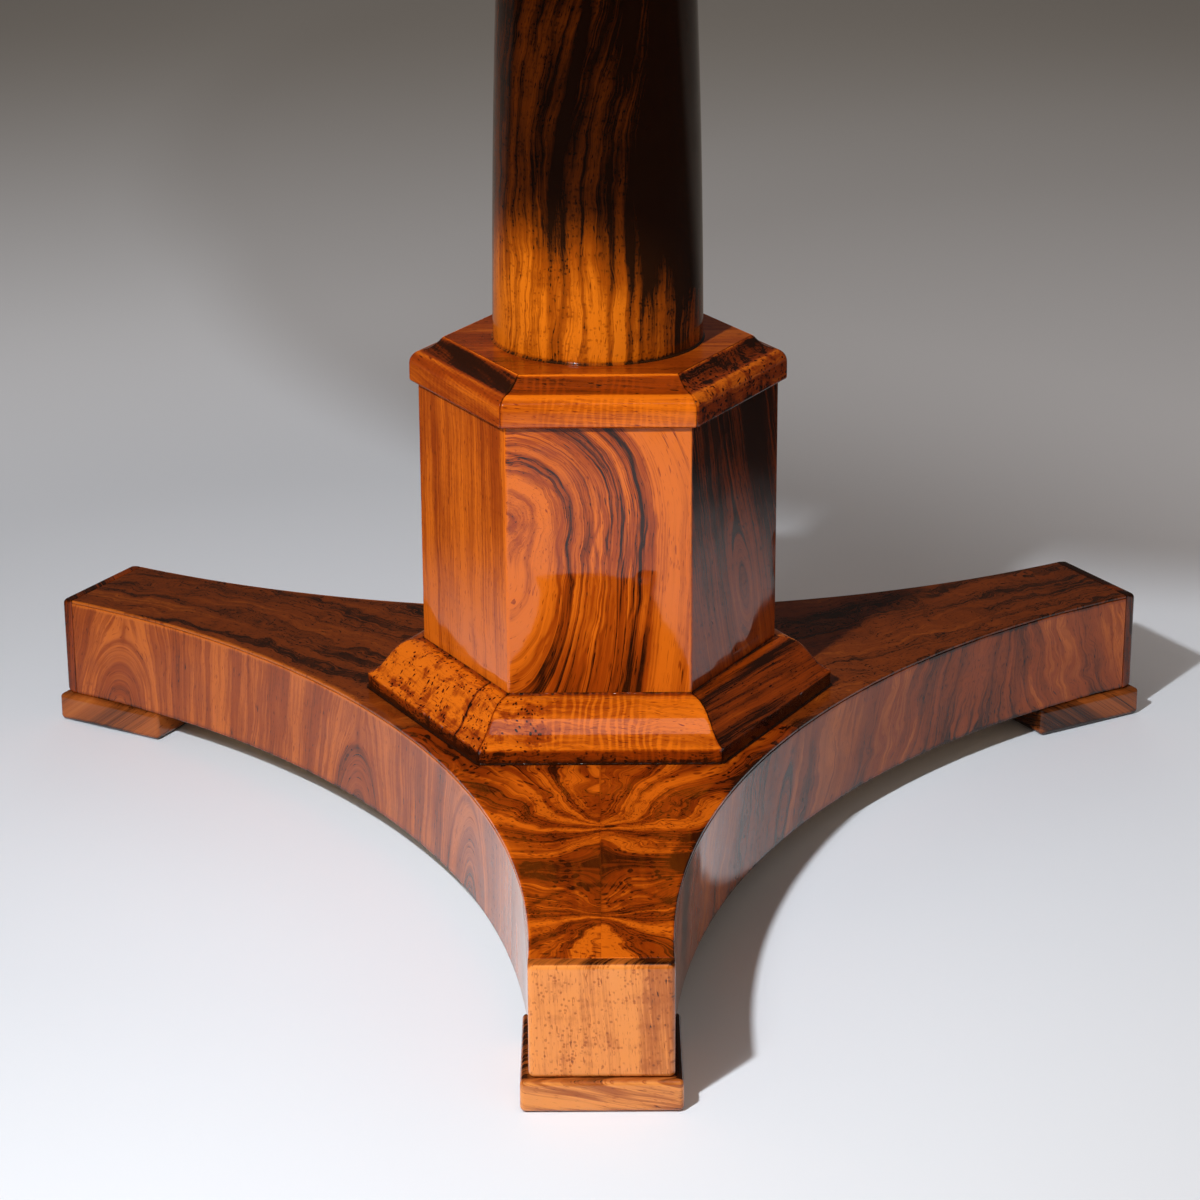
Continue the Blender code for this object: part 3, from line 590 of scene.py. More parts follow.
def foot_shade(side, point):
    """Darker along the floor and, on the front foot, painted shade on the ledge round the arm, deepest on its
    right, away from the lamp, and a little darker on top.
    """
    total = FOOT_DARKNESS[side] + 0.35 * rising(-point.z, -0.004, 0.0)
    if side != "front":
        return total
    beside = rising(abs(point.y), ARM_HALF_END - 0.002, ARM_HALF_END + 0.001)
    beside *= falling(point.x, ARM_REACH - 0.003, ARM_REACH)
    beside *= rising(point.z, FOOT_HEIGHT - 0.0034, FOOT_HEIGHT - 0.0014)
    # Painted shade on the ledge beside the arm, deepest on the right, away from the lamp.
    ledge_shade = 0.95 if point.y > 0 else 0.60
    top = rising(point.z, FOOT_HEIGHT - 0.0012, FOOT_HEIGHT - 0.0002)
    return total + ledge_shade * beside + 0.25 * top


foot_walnut = polished_walnut(
    "foot_walnut",
    Darkness=0.05, Zones=0.40, Streaks=0.50, Density=1.00, Wave=0.004, Ripple=0.03,
    Pale=(0.74, 0.255, 0.055, 1.0), Middle=(0.36, 0.085, 0.014, 1.0),
)
for number, (side, angle) in enumerate(ARM_ANGLES.items()):
    foot = wood_block(
        f"foot_pad_{side}",
        (FOOT_END - FOOT_LENGTH, -FOOT_HALF_WIDTH, 0.0),
        (FOOT_END, FOOT_HALF_WIDTH, FOOT_HEIGHT),
        angle,
        FOOT_ROUNDING,
        partial(foot_grain, number),
        1.0 - FOOT_FADING * FOOT_DARKNESS[side],
        partial(foot_shade, side),
    )
    hand_over(foot, foot_walnut, "base", "walnut_feet", f"foot_{side}")

# Plinth arms: three sawn softwood blanks, hollowed on both sides and butted on the axis, where the
# column's long tenon holds them together. Only their rough undersides show.
PLINTH_BOTTOM = 0.0189
PLINTH_TOP = 0.0869
VENEER = 0.002
GAP = 0.0003
SOFTWOOD = {"Pale": (0.47, 0.29, 0.13, 1.0), "Dark": (0.20, 0.10, 0.04, 1.0)}


def make_sawn_wood():
    """Bare sawn boards side by side: growth rings, saw marks and rays. Width is that of one board."""
    usual = {
        "Place": (0.0, 0.0, 0.0),
        "Rings": 150.0,
        "Width": 1.0,
        "Flecks": 0.0,
        "Roughness": 0.65,
        "Pale": SOFTWOOD["Pale"],
        "Dark": SOFTWOOD["Dark"],
    }
    group, nodes, given = new_group("sawn_wood", usual, ("Colour", "Roughness", "Height"))
    place = given["Place"]
    across = nodes.part(place, "X")
    thickness = nodes.part(place, "Z")
    board_place = nodes.calculate("ADD", nodes.calculate("DIVIDE", across, given["Width"]), 10.5)
    board = nodes.calculate("FLOOR", board_place)
    off_middle = nodes.calculate("ABSOLUTE", nodes.total(-0.5, (board_place, 1.0), (board, -1.0)))
    to_joint = nodes.calculate("MULTIPLY", nodes.calculate("SUBTRACT", 0.5, off_middle), given["Width"])
    joint = nodes.calculate("SUBTRACT", 1.0, nodes.ease(to_joint, 0.0002, 0.0009))
    sway = streak_noise(nodes, place, 5.0, 1.3, 0.0, 3.0)
    sawn_through = nodes.total(across, (thickness, 0.6))
    ring_place = nodes.total(0.0, (sawn_through, given["Rings"]), (sway, 16.0), (board, 5.37))
    ring_strength = streak_noise(nodes, place, 45.0, 1.5, 11.0, 2.0)
    late_wood = nodes.ease(nodes.calculate("FRACT", ring_place), 0.25, 0.95)
    late_wood = nodes.calculate("MULTIPLY", late_wood, ring_strength)
    fibres = streak_noise(nodes, place, 700.0, 20.0, 3.0, 2.0, through=700.0)
    rays = nodes.ease(streak_noise(nodes, place, 900.0, 160.0, 5.0, 1.0, through=320.0), 0.62, 0.70)
    stain = streak_noise(nodes, place, 9.0, 6.0, 7.0, 4.0, 0.6)
    saw_marks = streak_noise(nodes, place, 30.0, 480.0, 9.0, 1.0)
    darkness = nodes.total(
        -0.22, (late_wood, 0.60), (fibres, 0.40), (stain, 0.55), (rays, given["Flecks"]), (joint, 0.70)
    )
    results = {
        "Colour": nodes.blend(nodes.ease(darkness, 0.0, 1.0), given["Pale"], given["Dark"]),
        "Roughness": nodes.total(given["Roughness"], (stain, 0.2)),
        "Height": nodes.total(0.0, (saw_marks, 0.6), (fibres, 0.4)),
    }
    nodes.add("NodeGroupOutput", results)
    return group


sawn_wood = make_sawn_wood()


def rough_wood(name, grain_turn, **values):
    """Sawn wood with no polish, its grain turned by angles in degrees."""
    material, nodes = new_material(name)
    values["Place"] = turned_place(nodes, grain_turn)
    wood = nodes.add("ShaderNodeGroup", values, node_tree=sawn_wood)
    inputs = {
        "Base Color": wood["Colour"],
        "Roughness": wood["Roughness"],
        "Specular IOR Level": 0.25,
        "Normal": bump(nodes, wood["Height"], strength=0.35, distance=0.0005),
    }
    fill_shader(nodes, inputs)
    return material


def dress_node(material, slot, *nodes):
    """Gives CAD nodes that keep their own shape a finished material."""
    for node in nodes:
        cad_nodes[node].data.materials.clear()
        cad_nodes[node].data.materials.append(material)


for side, angle in ARM_ANGLES.items():
    arm_wood = rough_wood(f"softwood_arm_{side}", (0.0, 0.0, 90.0 - angle), Rings=150.0, **SOFTWOOD)
    dress_node(arm_wood, "softwood", f"plinth_arm_{side}")

# Plinth sides: one long leaf of walnut veneer bent into each hollow between two arms, with its grain
# upright and leaning a little, cut from a board with knots so that the figure arches round them.
HOLLOW_ANGLES = {"front_right": -30.0, "back": 90.0, "front_left": 210.0}
WAIST_REACH = 0.142
VENEER_REACH = 0.3917
CORNER_X = ARM_REACH * math.cos(math.pi / 3) + ARM_HALF_END * math.sin(math.pi / 3)
CORNER_Y = ARM_REACH * math.sin(math.pi / 3) - ARM_HALF_END * math.cos(math.pi / 3)
HOLLOW_DISTANCE = (CORNER_X**2 + CORNER_Y**2 - WAIST_REACH**2) / (2 * (CORNER_X - WAIST_REACH))
HOLLOW_RADIUS = HOLLOW_DISTANCE - WAIST_REACH
HOLLOW_END = math.pi / 6 + math.asin((VENEER_REACH - HOLLOW_DISTANCE / 2) / HOLLOW_RADIUS)
SIDE_TOP = PLINTH_TOP - VENEER - GAP
SIDE_MIDDLE = 0.05
SIDE_WAVES = 0.00012
SIDE_SEED = 2.0
SIDE_LEAN = {"front_left": 0.12, "front_right": 0.33, "back": 0.08}
# Painted light and shade along the upper edge of each leaf: pale as light on the left, dark as shade on the
# right, a little pale at the back.
SIDE_EDGE_LIGHTING = {"front_left": -0.35, "front_right": 0.30, "back": -0.10}
RIGHT_SEAM = 0.197

# Each knot: its place along the leaf, its height, its radius, how far it is drawn out upwards, and how much
# darker its heart is.
SIDE_KNOTS = {
    "front_left": (
        (-0.299, 0.012, 0.0290, 1.83, 0.00),
        (-0.063, 0.006, 0.0250, 1.95, 0.26),
        (0.098, 0.010, 0.0340, 2.10, 0.10),
    ),
    "front_right": ((-0.020, 0.040, 0.0080, 3.00, 0.10),),
    "back": ((-0.210, 0.012, 0.0300, 1.80, 0.05), (0.060, 0.010, 0.0300, 2.10, 0.16)),
}


def round_knot(across, along, knot_across, knot_along, radius, stretch):
    """Grain that parts round a knot, and closes in rings inside it."""
    sideways = across - knot_across
    distance = math.hypot(sideways, (along - knot_along) / stretch)
    if distance < radius:
        return knot_across + (distance - radius) * 1.5
    return knot_across + sideways * (1 - (radius / distance) ** 2)


def unevenness(point, height):
    """Small hand-scraped waves in a flat surface."""
    return height * noise.noise(Vector(point) * 26.0) + 0.4 * height * noise.noise(Vector(point) * 61.0)


def side_place(side, s, z):
    x = HOLLOW_DISTANCE - HOLLOW_RADIUS * math.cos(s)
    y = HOLLOW_RADIUS * math.sin(s)
    point = turned(x, y, z, HOLLOW_ANGLES[side])
    outward = turned(math.cos(s), -math.sin(s), 0.0, HOLLOW_ANGLES[side])
    return point + outward * unevenness(point, SIDE_WAVES)


def side_across(side, run, z):
    """Place across the upright, leaning grain. On the right the leaves are mirrored about a seam."""
    rise = z - SIDE_MIDDLE
    across = run - SIDE_LEAN[side] * rise
    past_seam = across - RIGHT_SEAM
    if side == "front_right" and past_seam > 0:
        return RIGHT_SEAM - past_seam - 0.55 * rising(past_seam, 0.0, 0.06) * rise
    return across


def side_grain(side, s, z):
    seed = SIDE_SEED * list(HOLLOW_ANGLES).index(side)
    across = side_across(side, HOLLOW_RADIUS * s, z)
    for middle, base, radius, stretch, _ in SIDE_KNOTS[side]:
        across = round_knot(across, z, side_across(side, middle, base), base, radius, stretch)
    return across + seed, z


def side_shade(side, s, z):
    """Darker along the foot, an upper edge painted pale as light on the left leaf, dark as shade on the right
    one and a little pale on the back one, and the dark rim, heart and spur of each knot.
    """
    total = 0.35 * falling(z, PLINTH_BOTTOM, PLINTH_BOTTOM + 0.003)
    total += SIDE_EDGE_LIGHTING[side] * rising(z, SIDE_TOP - 0.0020, SIDE_TOP - 0.0005)
    for middle, base, radius, stretch, heart in SIDE_KNOTS[side]:
        sideways = side_across(side, HOLLOW_RADIUS * s, z) - side_across(side, middle, base)
        distance = math.hypot(sideways, (z - base) / stretch)
        rim = bell(distance, radius, 0.0013)
        inside = falling(distance, radius - 0.002, radius)
        spur = bell(sideways, 0.0, 0.0022) * bell(z, base + radius * stretch + 0.008, 0.009)
        total += 0.40 * rim + heart * inside + 0.30 * spur
    return total


side_colours = {
    "Pale": (0.55, 0.125, 0.014, 1.0),
    "Middle": (0.28, 0.046, 0.004, 1.0),
    "Dark": (0.026, 0.0060, 0.0016, 1.0),
}
side_walnut = polished_walnut(
    "plinth_side_walnut",
    Darkness=0.22, Zones=0.35, Streaks=0.42, Density=1.3, Wave=0.006, Curl=0.006, Ripple=0.015,
    **side_colours,
)
smoky_side_walnut = polished_walnut(
    "plinth_right_side_walnut",
    Darkness=0.42, Zones=0.66, Streaks=0.46, Density=0.55, Wave=0.014, Curl=0.020,
    **side_colours,
)
for side in HOLLOW_ANGLES:
    leaf = wood_sheet(
        f"plinth_side_leaf_{side}",
        steps(-HOLLOW_END, HOLLOW_END, count=420),
        steps(PLINTH_BOTTOM, SIDE_TOP, count=46, edge=0.001),
        partial(side_place, side),
        partial(side_grain, side),
        full_figure,
        partial(side_shade, side),
    )
    soften(leaf, arris=0.0004, thickness=VENEER)
    material = smoky_side_walnut if side == "front_right" else side_walnut
    hand_over(leaf, material, "base", "walnut_veneer", f"plinth_side_veneer_{side}")

# Plinth top: one leaf of veneer on each arm, lapping over the edge of the side leaves. The front one is
# a pair of mirrored crotch leaves, the other two are darker and run lengthwise.
HUB_RADIUS = 0.0309
WAIST_ALONG = WAIST_REACH * math.cos(math.pi / 3)
HUB_LEAN = math.pi / 3 - 0.006
TOP_WAVES = 0.00008
UPPER_FORK = 0.220
LOWER_FORK = 0.335
FORK_SPREAD = 0.034
FORK_BLUNTNESS = 0.006
CROTCH_SEED = 6.0
SEAM = 0.006


def arm_half_width(reach):
    centre_x = HOLLOW_DISTANCE * math.cos(math.pi / 3)
    centre_y = HOLLOW_DISTANCE * math.sin(math.pi / 3)
    return centre_y - math.sqrt(HOLLOW_RADIUS**2 - (reach - centre_x) ** 2) - GAP / 4


def arm_plan(s, reach):
    """Point of an arm along +X: s runs from its left edge, -1, to its right edge, 1."""
    if reach >= WAIST_ALONG:
        return reach, -s * arm_half_width(reach)
    share = (reach - HUB_RADIUS) / (WAIST_ALONG - HUB_RADIUS)
    lean = -s * HUB_LEAN
    near = (HUB_RADIUS * math.cos(lean), HUB_RADIUS * math.sin(lean))
    far = (WAIST_ALONG, -s * arm_half_width(WAIST_ALONG))
    return near[0] + (far[0] - near[0]) * share, near[1] + (far[1] - near[1]) * share


def arm_place(angle, s, reach):
    point = turned(*arm_plan(s, reach), PLINTH_TOP, angle)
    point.z -= abs(unevenness(point, TOP_WAVES))
    return point


def crotch_grain(s, reach):
    """Rays that leave two forks on the seam and turn aside where they meet, nearly alike on both sides."""
    x, y = arm_plan(s, reach)
    x += 0.016 * noise.noise(Vector((17.0 * x, 17.0 * y, 4.0)))
    unlike = 0.012 * noise.noise(Vector((21.0 * x, 21.0 * y, 9.0))) * rising(abs(y), 0.0, 0.02)
    sideways = math.hypot(y + unlike, FORK_BLUNTNESS)
    rays = math.atan2(sideways, x - UPPER_FORK) + math.atan2(sideways, x - LOWER_FORK)
    run = math.log(math.hypot(sideways, x - UPPER_FORK) * math.hypot(sideways, x - LOWER_FORK))
    return CROTCH_SEED + FORK_SPREAD * rays, FORK_SPREAD * run + (0.06 if y < 0 else 0.0)


def lengthwise_grain(side, s, reach):
    seed = 9.0 if side == "left" else 11.0
    knot = 0.018 if side == "left" else -0.012
    x, y = arm_plan(s, reach)
    across = y * (1.0 + 0.9 * (x - 0.2)) + 0.010 * math.sin(17.0 * x + seed)
    return round_knot(across, x, knot, knot_along=0.27, radius=0.007, stretch=2.6) + seed, x


def crotch_shade(x, y):
    """The seam, a dark arch across both leaves, a small dead knot and a dark crescent at one edge."""
    seam = 0.12 * falling(abs(y), 0.0, 0.0015)
    arch = 0.34 * bell(x - 17.0 * y * y, 0.300, 0.0028)
    knot = 0.80 * falling(math.hypot((x - 0.2205) / 0.0022, (y - 0.0055) / 0.0045), 0.6, 1.1)
    inset = arm_half_width(x) - y
    crescent = 0.42 * falling(math.hypot((x - 0.257) / 0.030, inset / 0.0125), 0.75, 1.05)
    middle = 0.16 * bell(x, 0.268, 0.022)
    corners = 0.34 * falling(x, 0.13, 0.19) * rising(abs(y), 0.030, 0.085)
    return seam + arch + knot + crescent + middle + corners


def arm_shade(side, s, reach):
    """Edges painted pale as light towards the lamp and dark as shade on the other side, on the front leaf
    with its figure.
    """
    x, y = arm_plan(s, reach)
    painted_edge_lighting = rising(abs(s), 0.95, 1.0) * rising(reach, 0.1, 0.16)
    if side == "front":
        return crotch_shade(x, y) + (-0.30 if y < 0 else 0.25) * painted_edge_lighting
    return 0.16 + (-0.55 if side == "left" else 0.10) * painted_edge_lighting


crotch_walnut = polished_walnut(
    "plinth_crotch_walnut",
    Darkness=0.30, Zones=0.70, Streaks=0.65, Density=2.3, Wave=0.007, Curl=0.018, Burr=0.45,
    Pale=(0.63, 0.120, 0.004, 1.0), Middle=(0.25, 0.031, 0.001, 1.0),
)
lengthwise_walnut = polished_walnut(
    "plinth_top_walnut",
    Darkness=0.40, Zones=0.42, Streaks=0.34, Density=1.4, Wave=0.016, Curl=0.024, Burr=0.20,
    Pale=(0.46, 0.105, 0.010, 1.0), Middle=(0.20, 0.034, 0.003, 1.0), Dark=(0.018, 0.0045, 0.0012, 1.0),
)
for side, angle in ARM_ANGLES.items():
    leaf = wood_sheet(
        f"plinth_top_leaf_{side}",
        steps(-1.0, -SEAM, count=34, edge=0.02) + steps(SEAM, 1.0, count=34, edge=0.02),
        steps(HUB_RADIUS, WAIST_ALONG, count=10) + steps(WAIST_ALONG, VENEER_REACH, count=110)[1:],
        partial(arm_place, angle),
        crotch_grain if side == "front" else partial(lengthwise_grain, side),
        full_figure,
        partial(arm_shade, side),
    )
    soften(leaf, arris=0.0006, thickness=VENEER)
    material = crotch_walnut if side == "front" else lengthwise_walnut
    hand_over(leaf, material, "base", "walnut_veneer", f"plinth_top_veneer_{side}")

# Plinth ends: a board of solid walnut glued over the end of each arm, with its grain upright and its
# edges well rounded, hiding the ends of the top and side leaves.
END_PANEL_THICKNESS = 0.008
END_ROUNDING = 0.0034
END_STREAKS = 0.8
END_SEED = 2.0
END_DARKNESS = {"right": 0.26, "left": 0.06}

tan_end_walnut = polished_walnut(
    "plinth_end_walnut",
    Darkness=0.06, Zones=0.40, Streaks=0.30, Density=1.2, Wave=0.002, Ripple=0.015, Burr=0.34,
    Pale=(0.78, 0.255, 0.050, 1.0), Middle=(0.42, 0.100, 0.012, 1.0),
)
dark_end_walnut = polished_walnut(
    "plinth_side_end_walnut",
    Darkness=0.40, Zones=0.40, Streaks=0.50, Density=1.2, Wave=0.003, Ripple=0.015,
)


def end_grain(number, point):
    return point.y + 0.8 * point.x + 0.06 * point.z + END_SEED * number, point.z


def end_shade(side, point):
    """The front board darkens to its right, in an upright stain and on top, the others on top."""
    if side != "front":
        flank = rising(abs(point.y), ARM_HALF_END - 0.002, ARM_HALF_END)
        crown = rising(point.z, PLINTH_TOP - 0.002, PLINTH_TOP - 0.0005)
        return END_DARKNESS[side] - 0.04 * flank + 0.20 * crown
    stain = 0.26 * bell(point.y, 0.026, 0.0045)
    top = rising(point.z, PLINTH_TOP - 0.004, PLINTH_TOP) * (point.x < ARM_REACH - 0.001)
    return stain + 0.18 * rising(point.y, 0.0, ARM_HALF_END) + 0.62 * top


for number, (side, angle) in enumerate(ARM_ANGLES.items()):
    panel = wood_block(
        f"plinth_end_board_{side}",
        (ARM_REACH - END_PANEL_THICKNESS, -ARM_HALF_END, PLINTH_BOTTOM),
        (ARM_REACH, ARM_HALF_END, PLINTH_TOP),
        angle,
        END_ROUNDING,
        partial(end_grain, number),
        END_STREAKS,
        partial(end_shade, side),
        butted=True,
    )
    end_walnut = tan_end_walnut if side == "front" else dark_end_walnut
    hand_over(panel, end_walnut, "base", "walnut_solid", f"plinth_end_panel_{side}")

# Pedestal: six softwood boards mitred into a hexagonal box, each faced with one leaf of walnut. The front
# leaf has a crotch figure that swings out from its left edge, its neighbours run straight and upright.
FACE_ANGLES = {
    "front": -90.0,
    "front_right": -30.0,
    "back_right": 30.0,
    "back": 90.0,
    "back_left": 150.0,
    "front_left": 210.0,
}
PEDESTAL_APOTHEM = 0.0965
PEDESTAL_BOTTOM = 0.0872
PEDESTAL_TOP = 0.2904
PANEL_WAVES = 0.00018
SIDE_SLOPE = math.tan(math.pi / 6)
PANEL_HALF = PEDESTAL_APOTHEM * SIDE_SLOPE - GAP / 2
GRAIN_LEVEL = 0.2
CROTCH_HEIGHT = 0.232
CROTCH_EDGE = -0.057
RING_SEED = 20.0
ARCH_SEED = 24.0

board_wood = rough_wood("softwood_upright", (90.0, 0.0, 0.0), Rings=160.0, **SOFTWOOD)
dress_node(board_wood, "softwood", *[f"pedestal_board_{side}" for side in FACE_ANGLES])


def panel_place(angle, sideways, z):
    point = turned(PEDESTAL_APOTHEM, sideways, z, angle)
    return point - turned(1.0, 0.0, 0.0, angle) * abs(unevenness(point, PANEL_WAVES))


def ring_radius(x, z):
    """Radius of the ring through a point of the front leaf. The rings lie about a point on its left edge,
    round above it and long drawn below it."""
    rise = z - CROTCH_HEIGHT
    stretch = 1.0 - 0.66 * rising(-rise, -0.01, 0.045)
    return math.hypot(x - CROTCH_EDGE, rise * stretch)


def swinging_grain(x, z):
    return ring_radius(x, z) + RING_SEED, 0.07 * math.atan2(z - CROTCH_HEIGHT, x - CROTCH_EDGE + 0.004)


def straight_grain(seed, lean, *knots):
    def grain(x, z):
        across = x + lean * (z - GRAIN_LEVEL)
        for knot_x, knot_z, radius, stretch in knots:
            across = round_knot(across, z, knot_x + lean * (knot_z - GRAIN_LEVEL), knot_z, radius, stretch)
        return across + seed, z

    return grain


def arch_grain(x, z):
    """Cathedral arches of a leaf sawn near the heart."""
    return 0.6 * math.hypot(x, 0.02) - 0.16 * (z - 0.12) + ARCH_SEED, z


PANEL_GRAIN = {
    "front": swinging_grain,
    "front_right": straight_grain(22.0, 0.26, (0.012, 0.17, 0.012, 3.2)),
    "back_right": straight_grain(26.0, -0.04, (-0.02, 0.2, 0.007, 3.5)),
    "back": arch_grain,
    "back_left": straight_grain(28.0, 0.06, (0.015, 0.15, 0.006, 4.0)),
    "front_left": straight_grain(30.0, 0.02),
}
PANEL_FALL = {"front_right": 0.46, "front_left": 0.20}
PANEL_STREAKS = {"front_left": 0.40, "front_right": 0.45}
PANEL_DARKNESS = {
    "front": 0.0,
    "front_right": 0.45,
    "back_right": 0.15,
    "back": 0.05,
    "back_left": 0.10,
    "front_left": -0.04,
}

# Each dark ring of the front leaf: its radius, its width and how dark it is.
RING_LINES = (
    (0.0055, 0.0010, 0.34),
    (0.0190, 0.0022, 0.30),
    (0.0360, 0.0009, 0.30),
    (0.0420, 0.0011, 0.44),
    (0.0475, 0.0030, 0.26),
    (0.0535, 0.0024, 0.34),
    (0.0570, 0.0010, 0.44),
    (0.0640, 0.0010, 0.38),
    (0.0680, 0.0040, 0.20),
    (0.0720, 0.0010, 0.40),
    (0.0790, 0.0009, 0.32),
    (0.0835, 0.0016, 0.52),
    (0.0885, 0.0030, 0.50),
)


def panel_figure(side, x, z):
    """Even streaks, but on the front leaf only in the belt of rings."""
    if side != "front":
        return PANEL_STREAKS.get(side, 0.9)
    radius = ring_radius(x, z)
    return 0.25 + 0.75 * rising(radius, 0.024, 0.040) * falling(radius, 0.086, 0.094)


def ring_shade(x, z):
    """Wandering, broken rings, darker low down, with a mottled margin outside and a pale field inside."""
    place = Vector((x, z, 0.2))
    radius = ring_radius(x, z)
    radius += 0.0035 * noise.noise(place * 24.0) + 0.0020 * noise.noise(place * 80.0)
    belt = rising(radius, 0.03, 0.05) * falling(radius, 0.088, 0.096)
    total = 0.22 * falling(z, 0.125, 0.175) * belt
    for number, (ring, width, strength) in enumerate(RING_LINES):
        breaks = 0.75 + 0.7 * noise.noise(Vector((20.0 * x, 20.0 * z, 5.0 * number)))
        total += strength * breaks * bell(radius, ring, width)
    mottle = 0.16 * noise.noise(Vector((55.0 * x, 20.0 * z, 3.0))) - 0.08
    total += mottle * rising(radius, 0.090, 0.096)
    return total - 0.16 * falling(radius, 0.028, 0.042) * falling(z, 0.18, 0.22)


def panel_shade(side, x, z):
    """Pale worn corners, darker upwards on the leaves beside the front one."""
    total = PANEL_DARKNESS[side] - 0.20 * rising(abs(x), PANEL_HALF - 0.0022, PANEL_HALF)
    total += PANEL_FALL.get(side, 0.0) * (rising(z, 0.12, 0.28) - 0.35)
    return total + ring_shade(x, z) if side == "front" else total


panel_walnut = polished_walnut(
    "pedestal_walnut", Darkness=0.14, Zones=0.30, Streaks=0.78, Density=2.5, Wave=0.0036, Curl=0.005
)
for side, angle in FACE_ANGLES.items():
    columns, rows = (150, 240) if side == "front" else (40, 60)
    leaf = wood_sheet(
        f"pedestal_leaf_{side}",
        steps(-PANEL_HALF, PANEL_HALF, columns, edge=0.0012),
        steps(PEDESTAL_BOTTOM, PEDESTAL_TOP, rows),
        partial(panel_place, angle),
        PANEL_GRAIN[side],
        partial(panel_figure, side),
        partial(panel_shade, side),
    )
    soften(leaf, arris=0.0008, thickness=VENEER)
    hand_over(leaf, panel_walnut, "base", "walnut_veneer", f"pedestal_veneer_{side}")

# Base moulding: six strips of solid walnut run with an ogee over a plain fascia, mitred at the corners and
# glued round the foot of the pedestal. Some strips are burr, the others straight or rippled, and polish has
# gathered in a small fillet along the joints above and below them.
BASE_INNER = PEDESTAL_APOTHEM + GAP
BASE_OUTER = 0.128
BASE_TOP = 0.1202
BASE_FASCIA = 0.0967
BASE_SEED = 40.0
STRIP_SEED = 1.3
STRIP_STEPS = 150
OGEE_LEAD = BASE_INNER + 0.62 * (BASE_OUTER - BASE_INNER)
FILLET = 0.0012
FILLET_BUMPS = 0.00045
CORNER_WEAR = 0.0045
CRACK = 0.60


def curve_points(start, lead, follow, end, count):
    """Points of one cubic curve, without its last point."""
    points = []
    for i in range(count):
        t = i / count
        weights = ((1 - t) ** 3, 3 * t * (1 - t) ** 2, 3 * t * t * (1 - t), t**3)
        points.append(tuple(
            sum(weight * corner[axis] for weight, corner in zip(weights, (start, lead, follow, end)))
            for axis in (0, 1)
        ))
    return points


def straight_points(start, end, count):
    """Points of one straight run, without its last point."""
    return [
        (start[0] + (end[0] - start[0]) * i / count, start[1] + (end[1] - start[1]) * i / count)
        for i in range(count)
    ]


def fillet_points(wall, level):
    """Hollow in the corner between a level and the wall that stands on it."""
    return curve_points(
        (wall + FILLET, level),
        (wall + 0.3 * FILLET, level),
        (wall, level + 0.3 * FILLET),
        (wall, level + FILLET),
        count=4,
    )


base_section = (
    straight_points((BASE_INNER, PEDESTAL_BOTTOM), (BASE_OUTER + FILLET, PEDESTAL_BOTTOM), count=4)
    + fillet_points(BASE_OUTER, PEDESTAL_BOTTOM)
    + straight_points((BASE_OUTER, PEDESTAL_BOTTOM + FILLET), (BASE_OUTER, BASE_FASCIA), count=4)
    + curve_points(
        (BASE_OUTER, BASE_FASCIA),
        (OGEE_LEAD, BASE_FASCIA + 0.20 * (BASE_TOP - BASE_FASCIA)),
        (OGEE_LEAD, BASE_TOP),
        (BASE_INNER + FILLET, BASE_TOP),
        count=22,
    )
    + fillet_points(BASE_INNER, BASE_TOP)
    + straight_points((BASE_INNER, BASE_TOP + FILLET), (BASE_INNER, PEDESTAL_BOTTOM), count=4)
)
LOWER_FILLET_ROWS = (5, 6, 7)
FASCIA_EDGE_ROWS = (12,)
UPPER_FILLET_ROWS = (35, 36, 37)


def run_lengths(section):
    """Length of the section's outline up to each of its points."""
    lengths = [0.0]
    for first, second in zip(section, section[1:]):
        lengths.append(lengths[-1] + math.hypot(second[0] - first[0], second[1] - first[1]))
    return lengths


def mitred_strip(name, section, angle, lean, seed, figure, shade, arris, ragged=()):
    """One strip of a hexagonal frame, worn round at its mitres. The rows are numbers of section points,
    and the ragged ones are uneven. Figure and shade take the place along the strip and the section point."""
    lengths = run_lengths(section)
    inner = min(apothem for apothem, _ in section)

    def place(s, row):
        apothem, z = section[row]
        past = max(0.0, 0.5 * CORNER_WEAR - (1.0 - abs(s)) * apothem * SIDE_SLOPE)
        worn = CORNER_WEAR - math.sqrt(CORNER_WEAR**2 - past**2)
        apothem -= worn * rising(apothem, inner, inner + 0.004)
        if row in ragged:
            uneven = FILLET_BUMPS * noise.noise(Vector((26.0 * s, 0.3 * row, seed)))
            apothem += uneven
            z += uneven
        return turned(apothem, s * (apothem * SIDE_SLOPE - GAP / 2), z, angle)

    def grain(s, row):
        sideways = s * section[row][0] * SIDE_SLOPE
        return lengths[row] + lean * sideways + seed, sideways - lean * lengths[row]

    piece = wood_sheet(
        name,
        steps(-1.0, 1.0, STRIP_STEPS, edge=0.010),
        list(range(len(section))),
        place,
        grain,
        lambda s, row: figure(s, section[row]),
        lambda s, row: shade(s, section[row]),
        looped=True,
    )
    return soften(piece, arris)


def base_figure(side, strength, s, point):
    """Streaks or burr, which end near the left mitre above the fascia of the front strip."""
    here = strength * falling(s, -0.75, -0.25) if side == "front" else strength
    return max(here, 0.35 if point[1] < BASE_FASCIA else 0.0)


